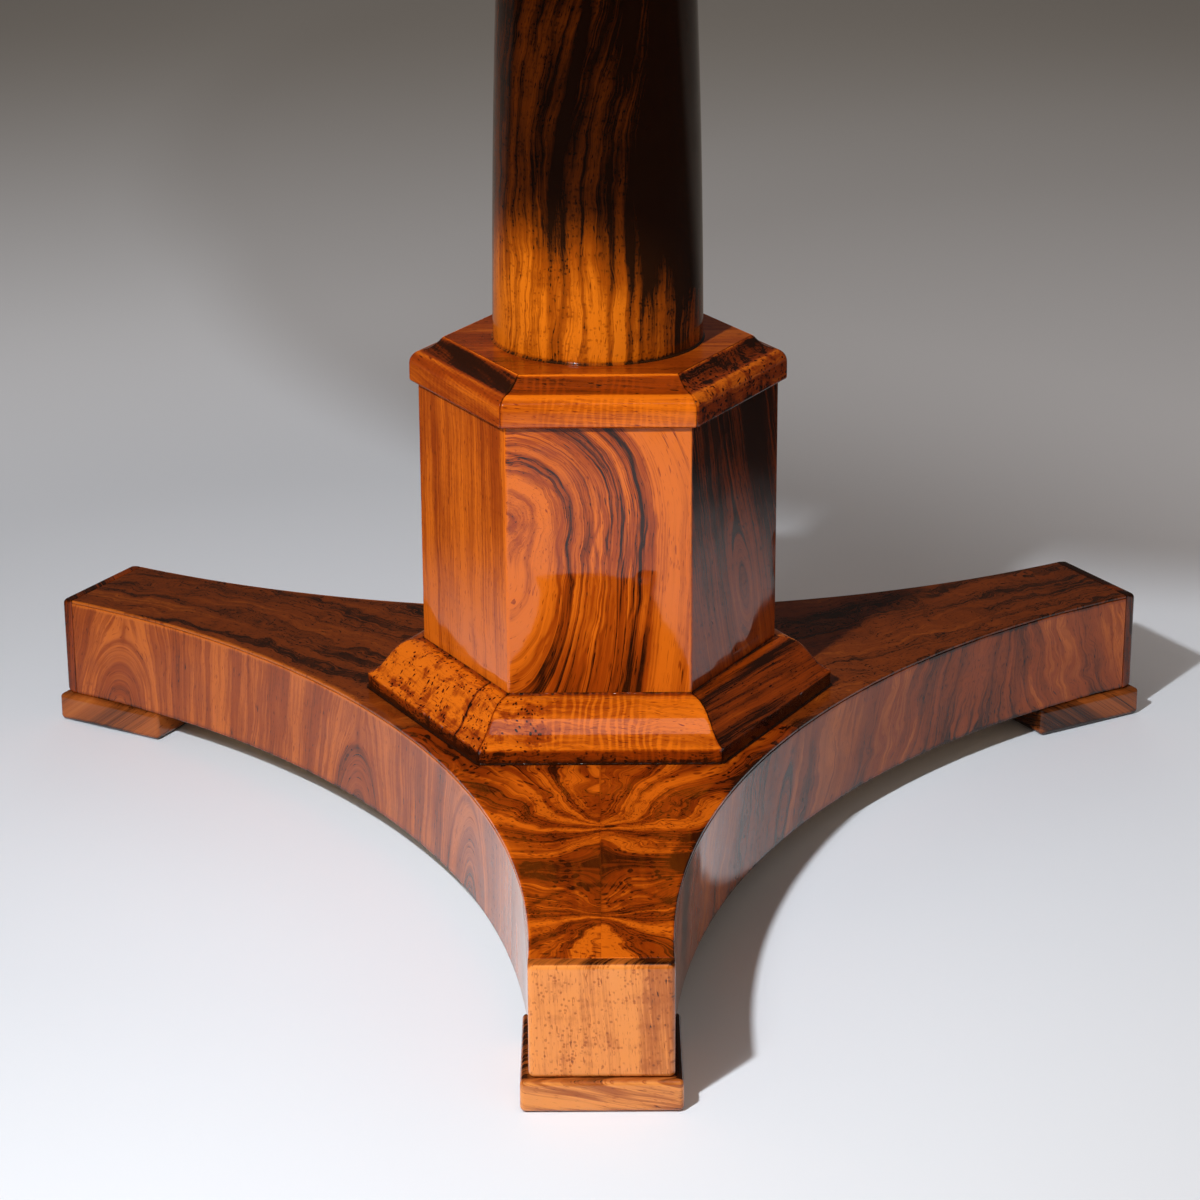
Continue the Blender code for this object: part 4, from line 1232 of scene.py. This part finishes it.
def base_shade(side, darker, s, point):
    """Grime in the joints and mitres, a dark fascia, painted shade on the foot of the ogee, a painted
    highlight along the fascia's upper edge, and the crack or vein of one strip.
    """
    apothem, z = point
    total = darker + 0.45 * falling(z, PEDESTAL_BOTTOM, PEDESTAL_BOTTOM + 0.0025)
    total += 0.45 * falling(apothem, BASE_INNER, BASE_INNER + 0.003)
    total += 0.30 * rising(abs(s), 0.985, 1.0)
    total += 0.42 * falling(z, BASE_FASCIA - 0.002, BASE_FASCIA)
    # Painted shade on the foot of the ogee, going on down the fascia.
    total += 0.22 * falling(z, BASE_FASCIA + 0.001, BASE_FASCIA + 0.009)
    # Painted highlight along the upper edge of the fascia.
    total -= 0.12 * bell(z, BASE_FASCIA, 0.0016)
    if side == "front_left":
        crack_place = CRACK + 0.02 * noise.noise(Vector((apothem * 150.0, z * 150.0, 0.0)))
        total += 0.75 * bell(s, crack_place, 0.014)
    if side == "front_right":
        total += 0.40 * bell(apothem, 0.1070, 0.0035)
    return total


strip_walnut = polished_walnut(
    "moulding_walnut",
    Darkness=0.16, Zones=0.35, Streaks=0.40, Density=1.6, Wave=0.003,
    Pale=(0.66, 0.130, 0.005, 1.0),
)
burr_colours = {"Pale": (0.66, 0.135, 0.004, 1.0), "Middle": (0.27, 0.034, 0.001, 1.0)}
burr_walnut = polished_walnut(
    "moulding_burr_walnut",
    Darkness=0.22, Zones=0.50, Streaks=0.20, Density=1.4, Wave=0.008, Curl=0.014, Ripple=0.22, Burr=0.75,
    **burr_colours,
)

# Each strip: its wood, the lean of its grain, the strength of its figure and how much darker it is.
BASE_STRIPS = {
    "front": (burr_walnut, 0.02, 1.0, 0.02),
    # The front right strip, away from the lamp, is darker in part as painted shade.
    "front_right": (strip_walnut, 0.04, 0.8, 0.34),
    "back_right": (burr_walnut, 0.0, 1.0, 0.05),
    "back": (strip_walnut, -0.04, 1.0, 0.05),
    "back_left": (burr_walnut, 0.0, 1.0, 0.10),
    "front_left": (burr_walnut, 0.0, 1.0, 0.02),
}
for number, (side, angle) in enumerate(FACE_ANGLES.items()):
    material, lean, strength, darker = BASE_STRIPS[side]
    strip = mitred_strip(
        f"base_strip_{side}",
        base_section,
        angle,
        lean,
        BASE_SEED + STRIP_SEED * number,
        partial(base_figure, side, strength),
        partial(base_shade, side, darker),
        arris=0.0007,
        ragged=LOWER_FILLET_ROWS + FASCIA_EDGE_ROWS + UPPER_FILLET_ROWS,
    )
    hand_over(strip, material, "base", "walnut_solid", f"base_moulding_{side}")

# Pedestal cap: a flat walnut board with a hole for the column's tenon, framed by six mitred strips that
# fall in a hollow from a ridge to a round nose. The ridge and the nose are painted pale as highlights.
CAP_BOTTOM = 0.2907
CAP_TOP = 0.3187
CAP_INNER = 0.0820
CAP_OUTER = 0.1015
CAP_NOSE = 0.3017
CAP_EDGE = 0.0015
CAP_DROP = 0.009
CAP_DARKEST = 0.70
CAP_SEED = 52.0
LIP_REACH = CAP_OUTER - 0.33 * (CAP_OUTER - CAP_INNER)
LIP_LEVEL = CAP_TOP - CAP_DROP

cap_board_walnut = polished_walnut(
    "cap_board_walnut", (0.0, 0.0, 90.0), Seed=7.0, Darkness=0.34, Zones=0.3, Streaks=0.35
)
dress_node(cap_board_walnut, "walnut_solid", "cap_board")

hollow_width = LIP_REACH - CAP_INNER
nose_width = CAP_OUTER - LIP_REACH
nose_height = LIP_LEVEL - CAP_NOSE
cap_section = (
    straight_points((CAP_INNER, CAP_BOTTOM), (CAP_OUTER - CAP_EDGE, CAP_BOTTOM), count=4)
    + curve_points(
        (CAP_OUTER - CAP_EDGE, CAP_BOTTOM),
        (CAP_OUTER - 0.4 * CAP_EDGE, CAP_BOTTOM),
        (CAP_OUTER, CAP_BOTTOM + 0.6 * CAP_EDGE),
        (CAP_OUTER, CAP_BOTTOM + CAP_EDGE),
        count=4,
    )
    + straight_points((CAP_OUTER, CAP_BOTTOM + CAP_EDGE), (CAP_OUTER, CAP_NOSE), count=4)
    + curve_points(
        (CAP_OUTER, CAP_NOSE),
        (CAP_OUTER, CAP_NOSE + 0.5 * nose_height),
        (LIP_REACH + 0.62 * nose_width, LIP_LEVEL - 0.10 * nose_height),
        (LIP_REACH, LIP_LEVEL),
        count=12,
    )
    + curve_points(
        (LIP_REACH, LIP_LEVEL),
        (CAP_INNER + 0.38 * hollow_width, LIP_LEVEL + 0.17 * CAP_DROP),
        (CAP_INNER + 0.23 * hollow_width, CAP_TOP - 0.11 * CAP_DROP),
        (CAP_INNER, CAP_TOP),
        count=14,
    )
    + straight_points((CAP_INNER, CAP_TOP), (CAP_INNER, CAP_BOTTOM), count=4)
)


def cap_shade(side, darker, s, point):
    """Dark in the hollow and the mitres and underneath, and painted pale as highlights on the ridge and the
    nose.
    """
    apothem, z = point
    hollow = 0.0
    painted_edge_lighting = 0.0
    if z > CAP_NOSE:
        hollow = rising(apothem, CAP_INNER + 0.0005, CAP_INNER + 0.0025)
        hollow *= falling(apothem, LIP_REACH - 0.0015, LIP_REACH + 0.0010)
        # Painted highlights on the ridge and the nose.
        painted_edge_lighting = 0.50 * bell(apothem, CAP_INNER, 0.0014)
        painted_edge_lighting += 0.34 * bell(apothem, LIP_REACH + 0.0014, 0.0016)
    above_nose = 0.3 + 0.7 * rising(z, CAP_NOSE, CAP_NOSE + 0.006)
    total = min(CAP_DARKEST, darker * above_nose + 0.41 * hollow) - painted_edge_lighting
    total += 0.30 * falling(z, CAP_BOTTOM, CAP_BOTTOM + 0.002)
    total += 0.25 * rising(abs(s), 0.985, 1.0)
    if side == "front_right":
        total += 0.30 * falling(z, CAP_NOSE, CAP_NOSE + 0.004)
    return total


rippled_walnut = polished_walnut(
    "cap_rippled_walnut",
    Darkness=0.18, Zones=0.40, Streaks=0.20, Density=1.4, Wave=0.006, Ripple=0.10,
    **burr_colours,
)
CAP_STRIPS = {
    "front": (rippled_walnut, 0.06, 0.0, 0.05),
    "front_right": (burr_walnut, 0.0, 1.0, 0.36),
    "back_right": (strip_walnut, 0.03, 0.9, 0.10),
    "back": (burr_walnut, 0.0, 1.0, 0.05),
    "back_left": (strip_walnut, -0.02, 0.9, 0.08),
    "front_left": (rippled_walnut, 0.10, 0.35, 0.40),
}
for number, (side, angle) in enumerate(FACE_ANGLES.items()):
    material, lean, strength, darker = CAP_STRIPS[side]
    strip = mitred_strip(
        f"cap_strip_{side}",
        cap_section,
        angle,
        lean,
        CAP_SEED + STRIP_SEED * number,
        partial(even_figure, strength),
        partial(cap_shade, side, darker),
        arris=0.0006,
    )
    hand_over(strip, material, "base", "walnut_solid", f"cap_moulding_{side}")

# Column: a turned softwood core with a long tenon at each end, wrapped in one sheet of walnut veneer that
# meets itself at the back. The grain stands upright, with a black streak and dark heartwood to its right.
# The veneer is also painted darker as shade on the right and higher up, and paler as light near the foot.
COLUMN_BOTTOM = 0.3190
COLUMN_TOP = 0.7011
COLUMN_FOOT_RADIUS = 0.0648
COLUMN_NECK_RADIUS = 0.0516
COLUMN_WAVES = 0.00006
COLUMN_WAVE_RADIUS = 0.06
COLUMN_SEED = 60.0
STRAIGHT_TAPER = 0.18
UNROLLED_RADIUS = 0.058
STREAK_START = -0.45

# Each dark line near the foot: its angle from the front, its width and how dark it is.
FOOT_STREAKS = (
    (-0.33, 0.026, 0.34),
    (-0.13, 0.018, 0.20),
    (0.10, 0.022, 0.36),
    (0.29, 0.032, 0.42),
    (0.44, 0.022, 0.34),
)

dress_node(board_wood, "softwood", "column_core")


def around(turn, radius, z):
    """Point at an angle round the axis, in radians."""
    return Vector((radius * math.cos(turn), radius * math.sin(turn), z))


def column_place(turn, z):
    """Point of the shaft, which flares in a small fillet of polish where it stands on the cap."""
    angle = math.pi / 2 + turn
    share = (z - COLUMN_BOTTOM) / (COLUMN_TOP - COLUMN_BOTTOM)
    taper = STRAIGHT_TAPER * share + (1 - STRAIGHT_TAPER) * share**2
    radius = COLUMN_FOOT_RADIUS - (COLUMN_FOOT_RADIUS - COLUMN_NECK_RADIUS) * taper
    radius -= abs(unevenness(around(angle, COLUMN_WAVE_RADIUS, z), COLUMN_WAVES))
    radius += FILLET * max(0.0, 1.0 - (z - COLUMN_BOTTOM) / FILLET) ** 2
    return around(angle, radius, z)


def streak_turn(z):
    """Where the black streak runs, as an angle from the front: upright low down, leaning right above."""
    return STREAK_START + 0.38 * rising(z, 0.40, 0.56)


def column_grain(turn, z):
    lean = UNROLLED_RADIUS * (streak_turn(z) - STREAK_START) * bell(turn, math.pi, 1.1)
    return UNROLLED_RADIUS * turn - lean + 0.002 * math.sin(30.0 * z) + COLUMN_SEED, z


def foot_streaks(side, z):
    """Wandering dark lines in the pale wood near the foot."""
    total = 0.0
    for number, (angle, width, strength) in enumerate(FOOT_STREAKS):
        wander = 0.06 * noise.noise(Vector((24.0 * z, 3.0 * number, 0.5)))
        total += strength * bell(side, angle + wander, width)
    return total * falling(z, 0.39, 0.46)


def column_painted_shade(side, z):
    """How far painted shade darkens the wood on the way up, where the top shades the shaft; it starts lower
    on the right.
    """
    lower = rising(side, -0.35, 0.15)
    return rising(z, 0.360 - 0.028 * lower, 0.455 - 0.062 * lower)


def column_shade(turn, z):
    """The streaks and the heartwood, painted shade on the right and higher up, painted light near the foot,
    and grime in the joint with the cap.
    """
    side = turn - math.pi
    away = falling(side, 1.3, 1.9)
    total = foot_streaks(side, z) + 0.50 * bell(side, streak_turn(z), 0.05)
    total += 0.20 * rising(side, 0.05, 0.40) * away * rising(z, 0.33, 0.42)
    # Painted shade on the right side of the shaft, away from the lamp.
    total += 0.42 * rising(side, 0.35, 0.90) * away
    # Painted shade higher up, where the top shades the shaft.
    total += 0.47 * column_painted_shade(side, z) * (0.60 + 0.40 * rising(side, -0.8, -0.4))
    total += 0.07 * falling(side, -1.1, -0.6)
    # Painted light near the foot of the shaft, where the lamp reaches under the top.
    total -= 0.40 * falling(z, 0.345, 0.42) * (1.0 - 0.8 * rising(side, 0.0, 0.5))
    return total + 0.6 * falling(z, COLUMN_BOTTOM, COLUMN_BOTTOM + 0.003)


def column_figure(turn, z):
    """Strong streaks in the pale wood near the foot, softer ones higher up, in the wood painted dark as
    shade.
    """
    return 1.0 - 0.55 * column_painted_shade(turn - math.pi, z)


column_walnut = polished_walnut(
    "column_walnut",
    Darkness=0.36, Zones=0.32, Streaks=0.52, Density=1.7, Wave=0.0055, Curl=0.007, Burr=0.22,
    Pale=(0.62, 0.140, 0.004, 1.0), Middle=(0.29, 0.052, 0.001, 1.0), Dark=(0.020, 0.0050, 0.0009, 1.0),
)
fillet_rows = steps(COLUMN_BOTTOM, COLUMN_BOTTOM + FILLET, count=4)
shaft_rows = steps(COLUMN_BOTTOM + 0.002, COLUMN_TOP, count=110, edge=0.001)
shaft = wood_sheet(
    "column_leaf",
    steps(0.0, math.tau, count=300),
    fillet_rows + shaft_rows,
    column_place,
    column_grain,
    column_figure,
    column_shade,
    closed=True,
)
soften(shaft, arris=0.0005, thickness=VENEER)
hand_over(shaft, column_walnut, "base", "walnut_veneer", "column_veneer")

# Tilt block and its pins: a beech block tenoned on the column, rounded at the back so that the top can turn
# past it, and two forged iron pins on which the bearers swing.
BEECH = {
    "Rings": 190.0,
    "Flecks": 0.35,
    "Roughness": 0.55,
    "Pale": (0.50, 0.28, 0.14, 1.0),
    "Dark": (0.24, 0.11, 0.05, 1.0),
}
dress_node(rough_wood("beech_block", (0.0, 0.0, 90.0), **BEECH), "beech", "tilt_block")


def make_worn_metal():
    """Metal that is bright where it is handled, dull and rough in patches, scratched and pitted."""
    usual = {
        "Place": (0.0, 0.0, 0.0),
        "Patches": 60.0,
        "Roughness": 0.4,
        "Bright": (0.5, 0.5, 0.5, 1.0),
        "Dull": (0.1, 0.1, 0.1, 1.0),
    }
    results = ("Colour", "Roughness", "Metallic", "Height")
    group, nodes, given = new_group("worn_metal", usual, results)
    place = given["Place"]
    scaling = {0: place, "Scale": given["Patches"]}
    patch_place = nodes.add("ShaderNodeVectorMath", scaling, operation="SCALE")[0]
    tarnish = nodes.ease(streak_noise(nodes, patch_place, 1.0, 1.0, 0.0, 5.0, 0.65), 0.38, 0.66)
    scratches = streak_noise(nodes, place, 1800.0, 60.0, 3.0, 2.0)
    pits = nodes.ease(streak_noise(nodes, place, 700.0, 700.0, 6.0, 1.0, through=700.0), 0.62, 0.74)
    dullness = nodes.total(0.0, (tarnish, 0.85), (pits, 0.25))
    outputs = {
        "Colour": nodes.blend(dullness, given["Bright"], given["Dull"]),
        "Roughness": nodes.total(given["Roughness"], (tarnish, 0.28), (scratches, 0.10)),
        "Metallic": nodes.total(1.0, (tarnish, -0.25)),
        "Height": nodes.total(0.0, (scratches, 0.4), (pits, -0.6)),
    }
    nodes.add("NodeGroupOutput", outputs)
    return group


worn_metal = make_worn_metal()


def old_metal(name, **values):
    material, nodes = new_material(name)
    values["Place"] = nodes.place()
    metal = nodes.add("ShaderNodeGroup", values, node_tree=worn_metal)
    inputs = {
        "Base Color": metal["Colour"],
        "Roughness": metal["Roughness"],
        "Metallic": metal["Metallic"],
        "Normal": bump(nodes, metal["Height"], strength=0.3, distance=0.0002),
    }
    fill_shader(nodes, inputs)
    return material


iron = old_metal(
    "forged_iron",
    Patches=60.0, Roughness=0.42, Bright=(0.20, 0.19, 0.18, 1.0), Dull=(0.055, 0.035, 0.025, 1.0),
)
dress_node(iron, "iron", "pivot_pin_left", "pivot_pin_right")

# Bearers: two beech rails screwed up against the underside of the top, one on each side of the block,
# tapered at both ends to clear the apron and bored for the pins.
dress_node(rough_wood("beech_rail", (0.0, 0.0, 0.0), **BEECH), "beech", "bearer_left", "bearer_right")

# Top core: a round slab of softwood boards glued edge to edge, bare underneath, where the top's gear is
# screwed to it.
core_wood = rough_wood(
    "softwood_core",
    (0.0, 0.0, 0.0),
    Rings=210.0, Width=0.14, Pale=(0.42, 0.25, 0.11, 1.0), Dark=(0.16, 0.08, 0.030, 1.0),
)
dress_node(core_wood, "softwood", "top_core")

# Top veneer: a sunburst of mirrored walnut leaves that meet in the centre, each pair cut from the same
# flitch, so that the figure repeats and drifts a little from pair to pair.
TABLE_HEIGHT = 0.770
FACE_RADIUS = 0.523
LEAF_PAIRS = 8
PAIR_HALF = math.pi / LEAF_PAIRS
PAIR_DRIFT = 0.0035
FLAME_SLOPE = 0.09
CENTRE_RADIUS = 0.0012
LEAF_JOINT = 0.0012
LEAF_SEED = 70.0


def leaf_place(turn, radius):
    return around(turn, radius, TABLE_HEIGHT)


def leaf_grain(turn, radius):
    """Flames that open outwards from the joint between the two leaves of a pair."""
    opening = 0.45 + 0.45 * rising(radius, 0.1, 0.5) + 0.15 * math.cos(9.0 * radius)
    return LEAF_SEED + abs(radius * math.sin(turn)) * opening + FLAME_SLOPE * radius, radius


def leaf_shade(turn, radius):
    """Dark joints between the leaves, and a darker rim."""
    nearest = radius * min(abs(turn), PAIR_HALF - abs(turn))
    return 0.18 * falling(nearest, 0.0, LEAF_JOINT) + 0.12 * rising(radius, FACE_RADIUS - 0.008, FACE_RADIUS)


def new_copier(name, inputs):
    """Geometry group with named inputs, each with its kind and usual value. Gives the group, a tool to add
    nodes, what the group is given and the identifiers of its inputs."""
    tree = bpy.data.node_groups.new(name, "GeometryNodeTree")
    tree.interface.new_socket("Geometry", in_out="INPUT", socket_type="NodeSocketGeometry")
    identifiers = {}
    for title, (kind, value) in inputs.items():
        socket = tree.interface.new_socket(title, in_out="INPUT", socket_type=kind)
        if value is not None:
            socket.default_value = value
        identifiers[title] = socket.identifier
    tree.interface.new_socket("Geometry", in_out="OUTPUT", socket_type="NodeSocketGeometry")
    nodes = Nodes(tree)
    return tree, nodes, nodes.add("NodeGroupInput"), identifiers


def give_result(nodes, geometry, material):
    """Sets the material and hands the geometry out of the group."""
    painted = nodes.add("GeometryNodeSetMaterial", {"Geometry": geometry, "Material": material})
    nodes.add("NodeGroupOutput", {0: painted[0]})


def run_copier(piece, name, tree, identifiers, values):
    """Runs a geometry group on a piece, and leaves the result as a plain mesh without modifiers."""
    copier = piece.modifiers.new(name, "NODES")
    copier.node_group = tree
    for title, value in values.items():
        copier[identifiers[title]] = value
    bpy.context.view_layer.update()
    made = bpy.data.meshes.new_from_object(piece.evaluated_get(bpy.context.evaluated_depsgraph_get()))
    made.name = name
    piece.modifiers.clear()
    piece.data = made
    piece.name = name


def sunburst_tree():
    """Copies a pair of leaves round the axis and moves the grain of each copy a little on."""
    inputs = {
        "Pairs": ("NodeSocketInt", LEAF_PAIRS),
        "Drift": ("NodeSocketFloat", PAIR_DRIFT),
        "Material": ("NodeSocketMaterial", None),
    }
    tree, nodes, given, identifiers = new_copier("sunburst", inputs)
    points = nodes.add("GeometryNodePoints", {"Count": given["Pairs"]})
    number = nodes.add("GeometryNodeInputIndex")[0]
    turn = nodes.calculate("MULTIPLY", number, nodes.calculate("DIVIDE", math.tau, given["Pairs"]))
    copying = {
        "Points": points[0],
        "Instance": given["Geometry"],
        "Rotation": nodes.combine(0.0, 0.0, turn),
    }
    copies = nodes.add("GeometryNodeInstanceOnPoints", copying)
    marked = nodes.add(
        "GeometryNodeStoreNamedAttribute",
        data_type="FLOAT",
        domain="INSTANCE",
        inputs={"Geometry": copies[0], "Name": "pair_number", "Value": number},
    )
    real = nodes.add("GeometryNodeRealizeInstances", {0: marked[0]})
    pair = nodes.add("GeometryNodeInputNamedAttribute", {"Name": "pair_number"}, data_type="FLOAT")
    grain = nodes.add("GeometryNodeInputNamedAttribute", {"Name": "grain"}, data_type="FLOAT_VECTOR")
    shift = nodes.calculate("MULTIPLY", pair[0], given["Drift"])
    moving = {0: grain[0], 1: nodes.combine(shift, shift, 0.0)}
    moved = nodes.add("ShaderNodeVectorMath", moving, operation="ADD")
    stored = nodes.add(
        "GeometryNodeStoreNamedAttribute",
        data_type="FLOAT2",
        domain="CORNER",
        inputs={"Geometry": real[0], "Name": "grain", "Value": moved[0]},
    )
    give_result(nodes, stored[0], given["Material"])
    return tree, identifiers


top_walnut = polished_walnut(
    "top_walnut", Darkness=0.26, Zones=0.40, Streaks=0.60, Density=0.55, Wave=0.006, Curl=0.004
)
sunburst = wood_sheet(
    "sunburst_pair",
    steps(PAIR_HALF, -PAIR_HALF, count=24),
    steps(CENTRE_RADIUS, FACE_RADIUS, count=56),
    leaf_place,
    leaf_grain,
    full_figure,
    leaf_shade,
)
thicken(sunburst, VENEER)
values = {"Pairs": LEAF_PAIRS, "Drift": PAIR_DRIFT, "Material": top_walnut}
run_copier(sunburst, "top_sunburst", *sunburst_tree(), values)
sunburst.data.set_sharp_from_angle(angle=SHARP_ANGLE)
hand_over(sunburst, top_walnut, "top", "walnut_veneer", "top_veneer")

# Top edge: a band of solid walnut glued round the core and turned to a round edge above and below, a
# little darker than the face, with its grain running round.
TOP_RADIUS = 0.530
EDGE_INNER = 0.518
EDGE_BOTTOM = 0.7437
EDGE_TOP = 0.7677
EDGE_ROUNDING = 0.007
EDGE_SEED = 80.0

quarter = [math.radians(15.0 * i) for i in range(6)]
edge_section = (
    straight_points((EDGE_INNER, EDGE_BOTTOM), (FACE_RADIUS, EDGE_BOTTOM), count=2)
    + [
        (FACE_RADIUS + EDGE_ROUNDING * math.sin(a), EDGE_BOTTOM + EDGE_ROUNDING * (1 - math.cos(a)))
        for a in quarter
    ]
    + straight_points(
        (TOP_RADIUS, EDGE_BOTTOM + EDGE_ROUNDING), (TOP_RADIUS, EDGE_TOP - EDGE_ROUNDING), count=3
    )
    + [
        (FACE_RADIUS + EDGE_ROUNDING * math.cos(a), EDGE_TOP - EDGE_ROUNDING * (1 - math.sin(a)))
        for a in quarter
    ]
    + straight_points((FACE_RADIUS, EDGE_TOP), (EDGE_INNER, EDGE_TOP), count=2)
    + straight_points((EDGE_INNER, EDGE_TOP), (EDGE_INNER, EDGE_BOTTOM), count=4)
)
edge_lengths = run_lengths(edge_section)


def edge_place(turn, row):
    return around(turn, *edge_section[row])


def edge_grain(turn, row):
    return edge_lengths[row] + 0.01 * math.sin(3.0 * turn) + EDGE_SEED, turn * TOP_RADIUS


def edge_shade(turn, row):
    """Rubbed a little paler on the round of the edge than above and below it."""
    return -0.06 if edge_section[row][0] > FACE_RADIUS else 0.05


edge_walnut = polished_walnut(
    "edge_walnut", Darkness=0.36, Zones=0.35, Streaks=0.45, Density=1.73, Wave=0.003, Ripple=0.03
)
edge = wood_sheet(
    "top_edge_ring",
    steps(0.0, math.tau, count=192),
    list(range(len(edge_section))),
    edge_place,
    edge_grain,
    full_figure,
    edge_shade,
    closed=True,
    looped=True,
)
hand_over(edge, edge_walnut, "top", "walnut_solid", "top_edge_band")

# Apron: four sawn softwood quarters glued into a ring under the top and faced with walnut veneer that
# stands upright, matched in mirrored leaves.
APRON_RADIUS = 0.480
APRON_BOTTOM = 0.6734
APRON_TOP = 0.7434
APRON_LEAVES = 24
APRON_SEED = 90.0
APRON_LEAF_WIDTH = math.tau * APRON_RADIUS / APRON_LEAVES

dress_node(core_wood, "softwood", *[f"apron_quarter_{number}" for number in (1, 2, 3, 4)])


def off_leaf_middle(turn):
    """Distance from the middle of the leaf at an angle, in metres."""
    leaf = turn / math.tau * APRON_LEAVES
    return abs(leaf - math.floor(leaf) - 0.5) * APRON_LEAF_WIDTH


def apron_place(turn, z):
    return around(turn, APRON_RADIUS, z)


def apron_grain(turn, z):
    """Upright grain that opens a little upwards, mirrored about the middle of each leaf."""
    return off_leaf_middle(turn) * (0.9 + 2.0 * (z - APRON_BOTTOM)) + APRON_SEED, z


def apron_shade(turn, z):
    """Dark joints between the leaves, and a pale worn lower edge."""
    to_joint = APRON_LEAF_WIDTH / 2 - off_leaf_middle(turn)
    return 0.15 * falling(to_joint, 0.0, 0.0015) - 0.12 * falling(z, APRON_BOTTOM, APRON_BOTTOM + 0.0026)


apron_walnut = polished_walnut(
    "apron_walnut", Darkness=0.28, Zones=0.40, Streaks=0.60, Density=0.80, Wave=0.004, Ripple=0.02
)
apron = wood_sheet(
    "apron_leaf",
    steps(0.0, math.tau, count=288),
    steps(APRON_BOTTOM, APRON_TOP, count=14, edge=0.001),
    apron_place,
    apron_grain,
    full_figure,
    apron_shade,
    closed=True,
)
soften(apron, arris=0.0005, thickness=VENEER)
hand_over(apron, apron_walnut, "top", "walnut_veneer", "apron_veneer")

# Bolt: a brass bar with a turned knob that slides in a folded brass guide under the top, and shoots into
# a plate let over a mortise in the front of the block.
brass = old_metal(
    "old_brass",
    Patches=90.0, Roughness=0.28, Bright=(0.62, 0.40, 0.13, 1.0), Dull=(0.22, 0.12, 0.04, 1.0),
)
dress_node(brass, "brass", "strike_plate", "bolt_guide", "sliding_bolt")

# Screws: slotted iron countersunk screws, up through the bearers and the flanges of the guide into the top
# core, and brass ones through the strike plate into the block. Their heads stand a hair proud.
HEAD_HEIGHT = 0.0012
HEAD_PROUD = 0.0003
HEAD_FACETS = 24
HEAD_TAPER = 0.9
SLOT_DEPTH = 0.0005
SLOT_LENGTH_SHARE = 2.6
SLOT_WIDTH_SHARE = 0.22
UPWARD_HEAD = (0.0, 0.0, -1.0)
FRONT_HEAD = (0.0, -1.0, 0.0)
BEARER_X = 0.2015
BEARER_YS = (-0.25, -0.02, 0.25)
BEARER_BELLY = 0.6954
FLANGE_X = 0.0158
FLANGE_YS = (-0.181, -0.206)
FLANGE_FACE = 0.7414
STRIKE_X = 0.0118
STRIKE_FACE = -0.1668
STRIKE_MIDDLE = 0.73345


def screw_tree():
    """Sets one slotted screw head on each point, all facing one way, each slot at its own angle."""
    inputs = {
        "Radius": ("NodeSocketFloat", 0.004),
        "Facing": ("NodeSocketVector", (0.0, 0.0, 1.0)),
        "Seed": ("NodeSocketInt", 1),
        "Material": ("NodeSocketMaterial", None),
    }
    tree, nodes, given, identifiers = new_copier("slotted_screws", inputs)
    cone = {
        "Vertices": HEAD_FACETS,
        "Depth": HEAD_HEIGHT,
        "Radius Bottom": given["Radius"],
        "Radius Top": nodes.calculate("MULTIPLY", given["Radius"], HEAD_TAPER),
    }
    head = nodes.add("GeometryNodeMeshCone", cone)
    slot_length = nodes.calculate("MULTIPLY", given["Radius"], SLOT_LENGTH_SHARE)
    slot_width = nodes.calculate("MULTIPLY", given["Radius"], SLOT_WIDTH_SHARE)
    slot_size = nodes.combine(slot_length, slot_width, 2 * SLOT_DEPTH)
    slot = nodes.add("GeometryNodeMeshCube", {"Size": slot_size})
    raising = {"Geometry": slot[0], "Translation": (0.0, 0.0, HEAD_HEIGHT)}
    raised = nodes.add("GeometryNodeTransform", raising)
    cutting = {"Mesh 1": head[0], "Mesh 2": raised[0]}
    slotted = nodes.add("GeometryNodeMeshBoolean", cutting, operation="DIFFERENCE")
    facing = nodes.add("FunctionNodeAlignRotationToVector", {"Vector": given["Facing"]}, axis="Z")
    chance = nodes.add("FunctionNodeRandomValue", {3: math.pi, "Seed": given["Seed"]}, data_type="FLOAT")
    twist = nodes.add("FunctionNodeEulerToRotation", {0: nodes.combine(0.0, 0.0, chance[1])})
    turning = {"Rotation": facing[0], "Rotate By": twist[0]}
    driven = nodes.add("FunctionNodeRotateRotation", turning, rotation_space="LOCAL")
    copying = {"Points": given["Geometry"], "Instance": slotted[0], "Rotation": driven[0]}
    copies = nodes.add("GeometryNodeInstanceOnPoints", copying)
    real = nodes.add("GeometryNodeRealizeInstances", {0: copies[0]})
    give_result(nodes, real[0], given["Material"])
    return tree, identifiers


slotted_screws, screw_inputs = screw_tree()


def add_screws(name, places, facing, material, body, radius, seed):
    mesh = bpy.data.meshes.new(name)
    sunk = Vector(facing) * (HEAD_HEIGHT - HEAD_PROUD)
    mesh.from_pydata([Vector(place) - sunk for place in places], [], [])
    screws = add_object(name, mesh)
    values = {"Radius": radius, "Facing": facing, "Seed": seed, "Material": material}
    run_copier(screws, name, slotted_screws, screw_inputs, values)
    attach(screws, body)


bearer_places = [(x, y, BEARER_BELLY) for x in (-BEARER_X, BEARER_X) for y in BEARER_YS]
add_screws("bearer_screws", bearer_places, UPWARD_HEAD, iron, "top", radius=0.0046, seed=3)
flange_places = [(x, y, FLANGE_FACE) for x in (-FLANGE_X, FLANGE_X) for y in FLANGE_YS]
add_screws("guide_screws", flange_places, UPWARD_HEAD, iron, "top", radius=0.0028, seed=5)
strike_places = [(x, STRIKE_FACE, STRIKE_MIDDLE) for x in (-STRIKE_X, STRIKE_X)]
add_screws("strike_screws", strike_places, FRONT_HEAD, brass, "base", radius=0.0026, seed=7)
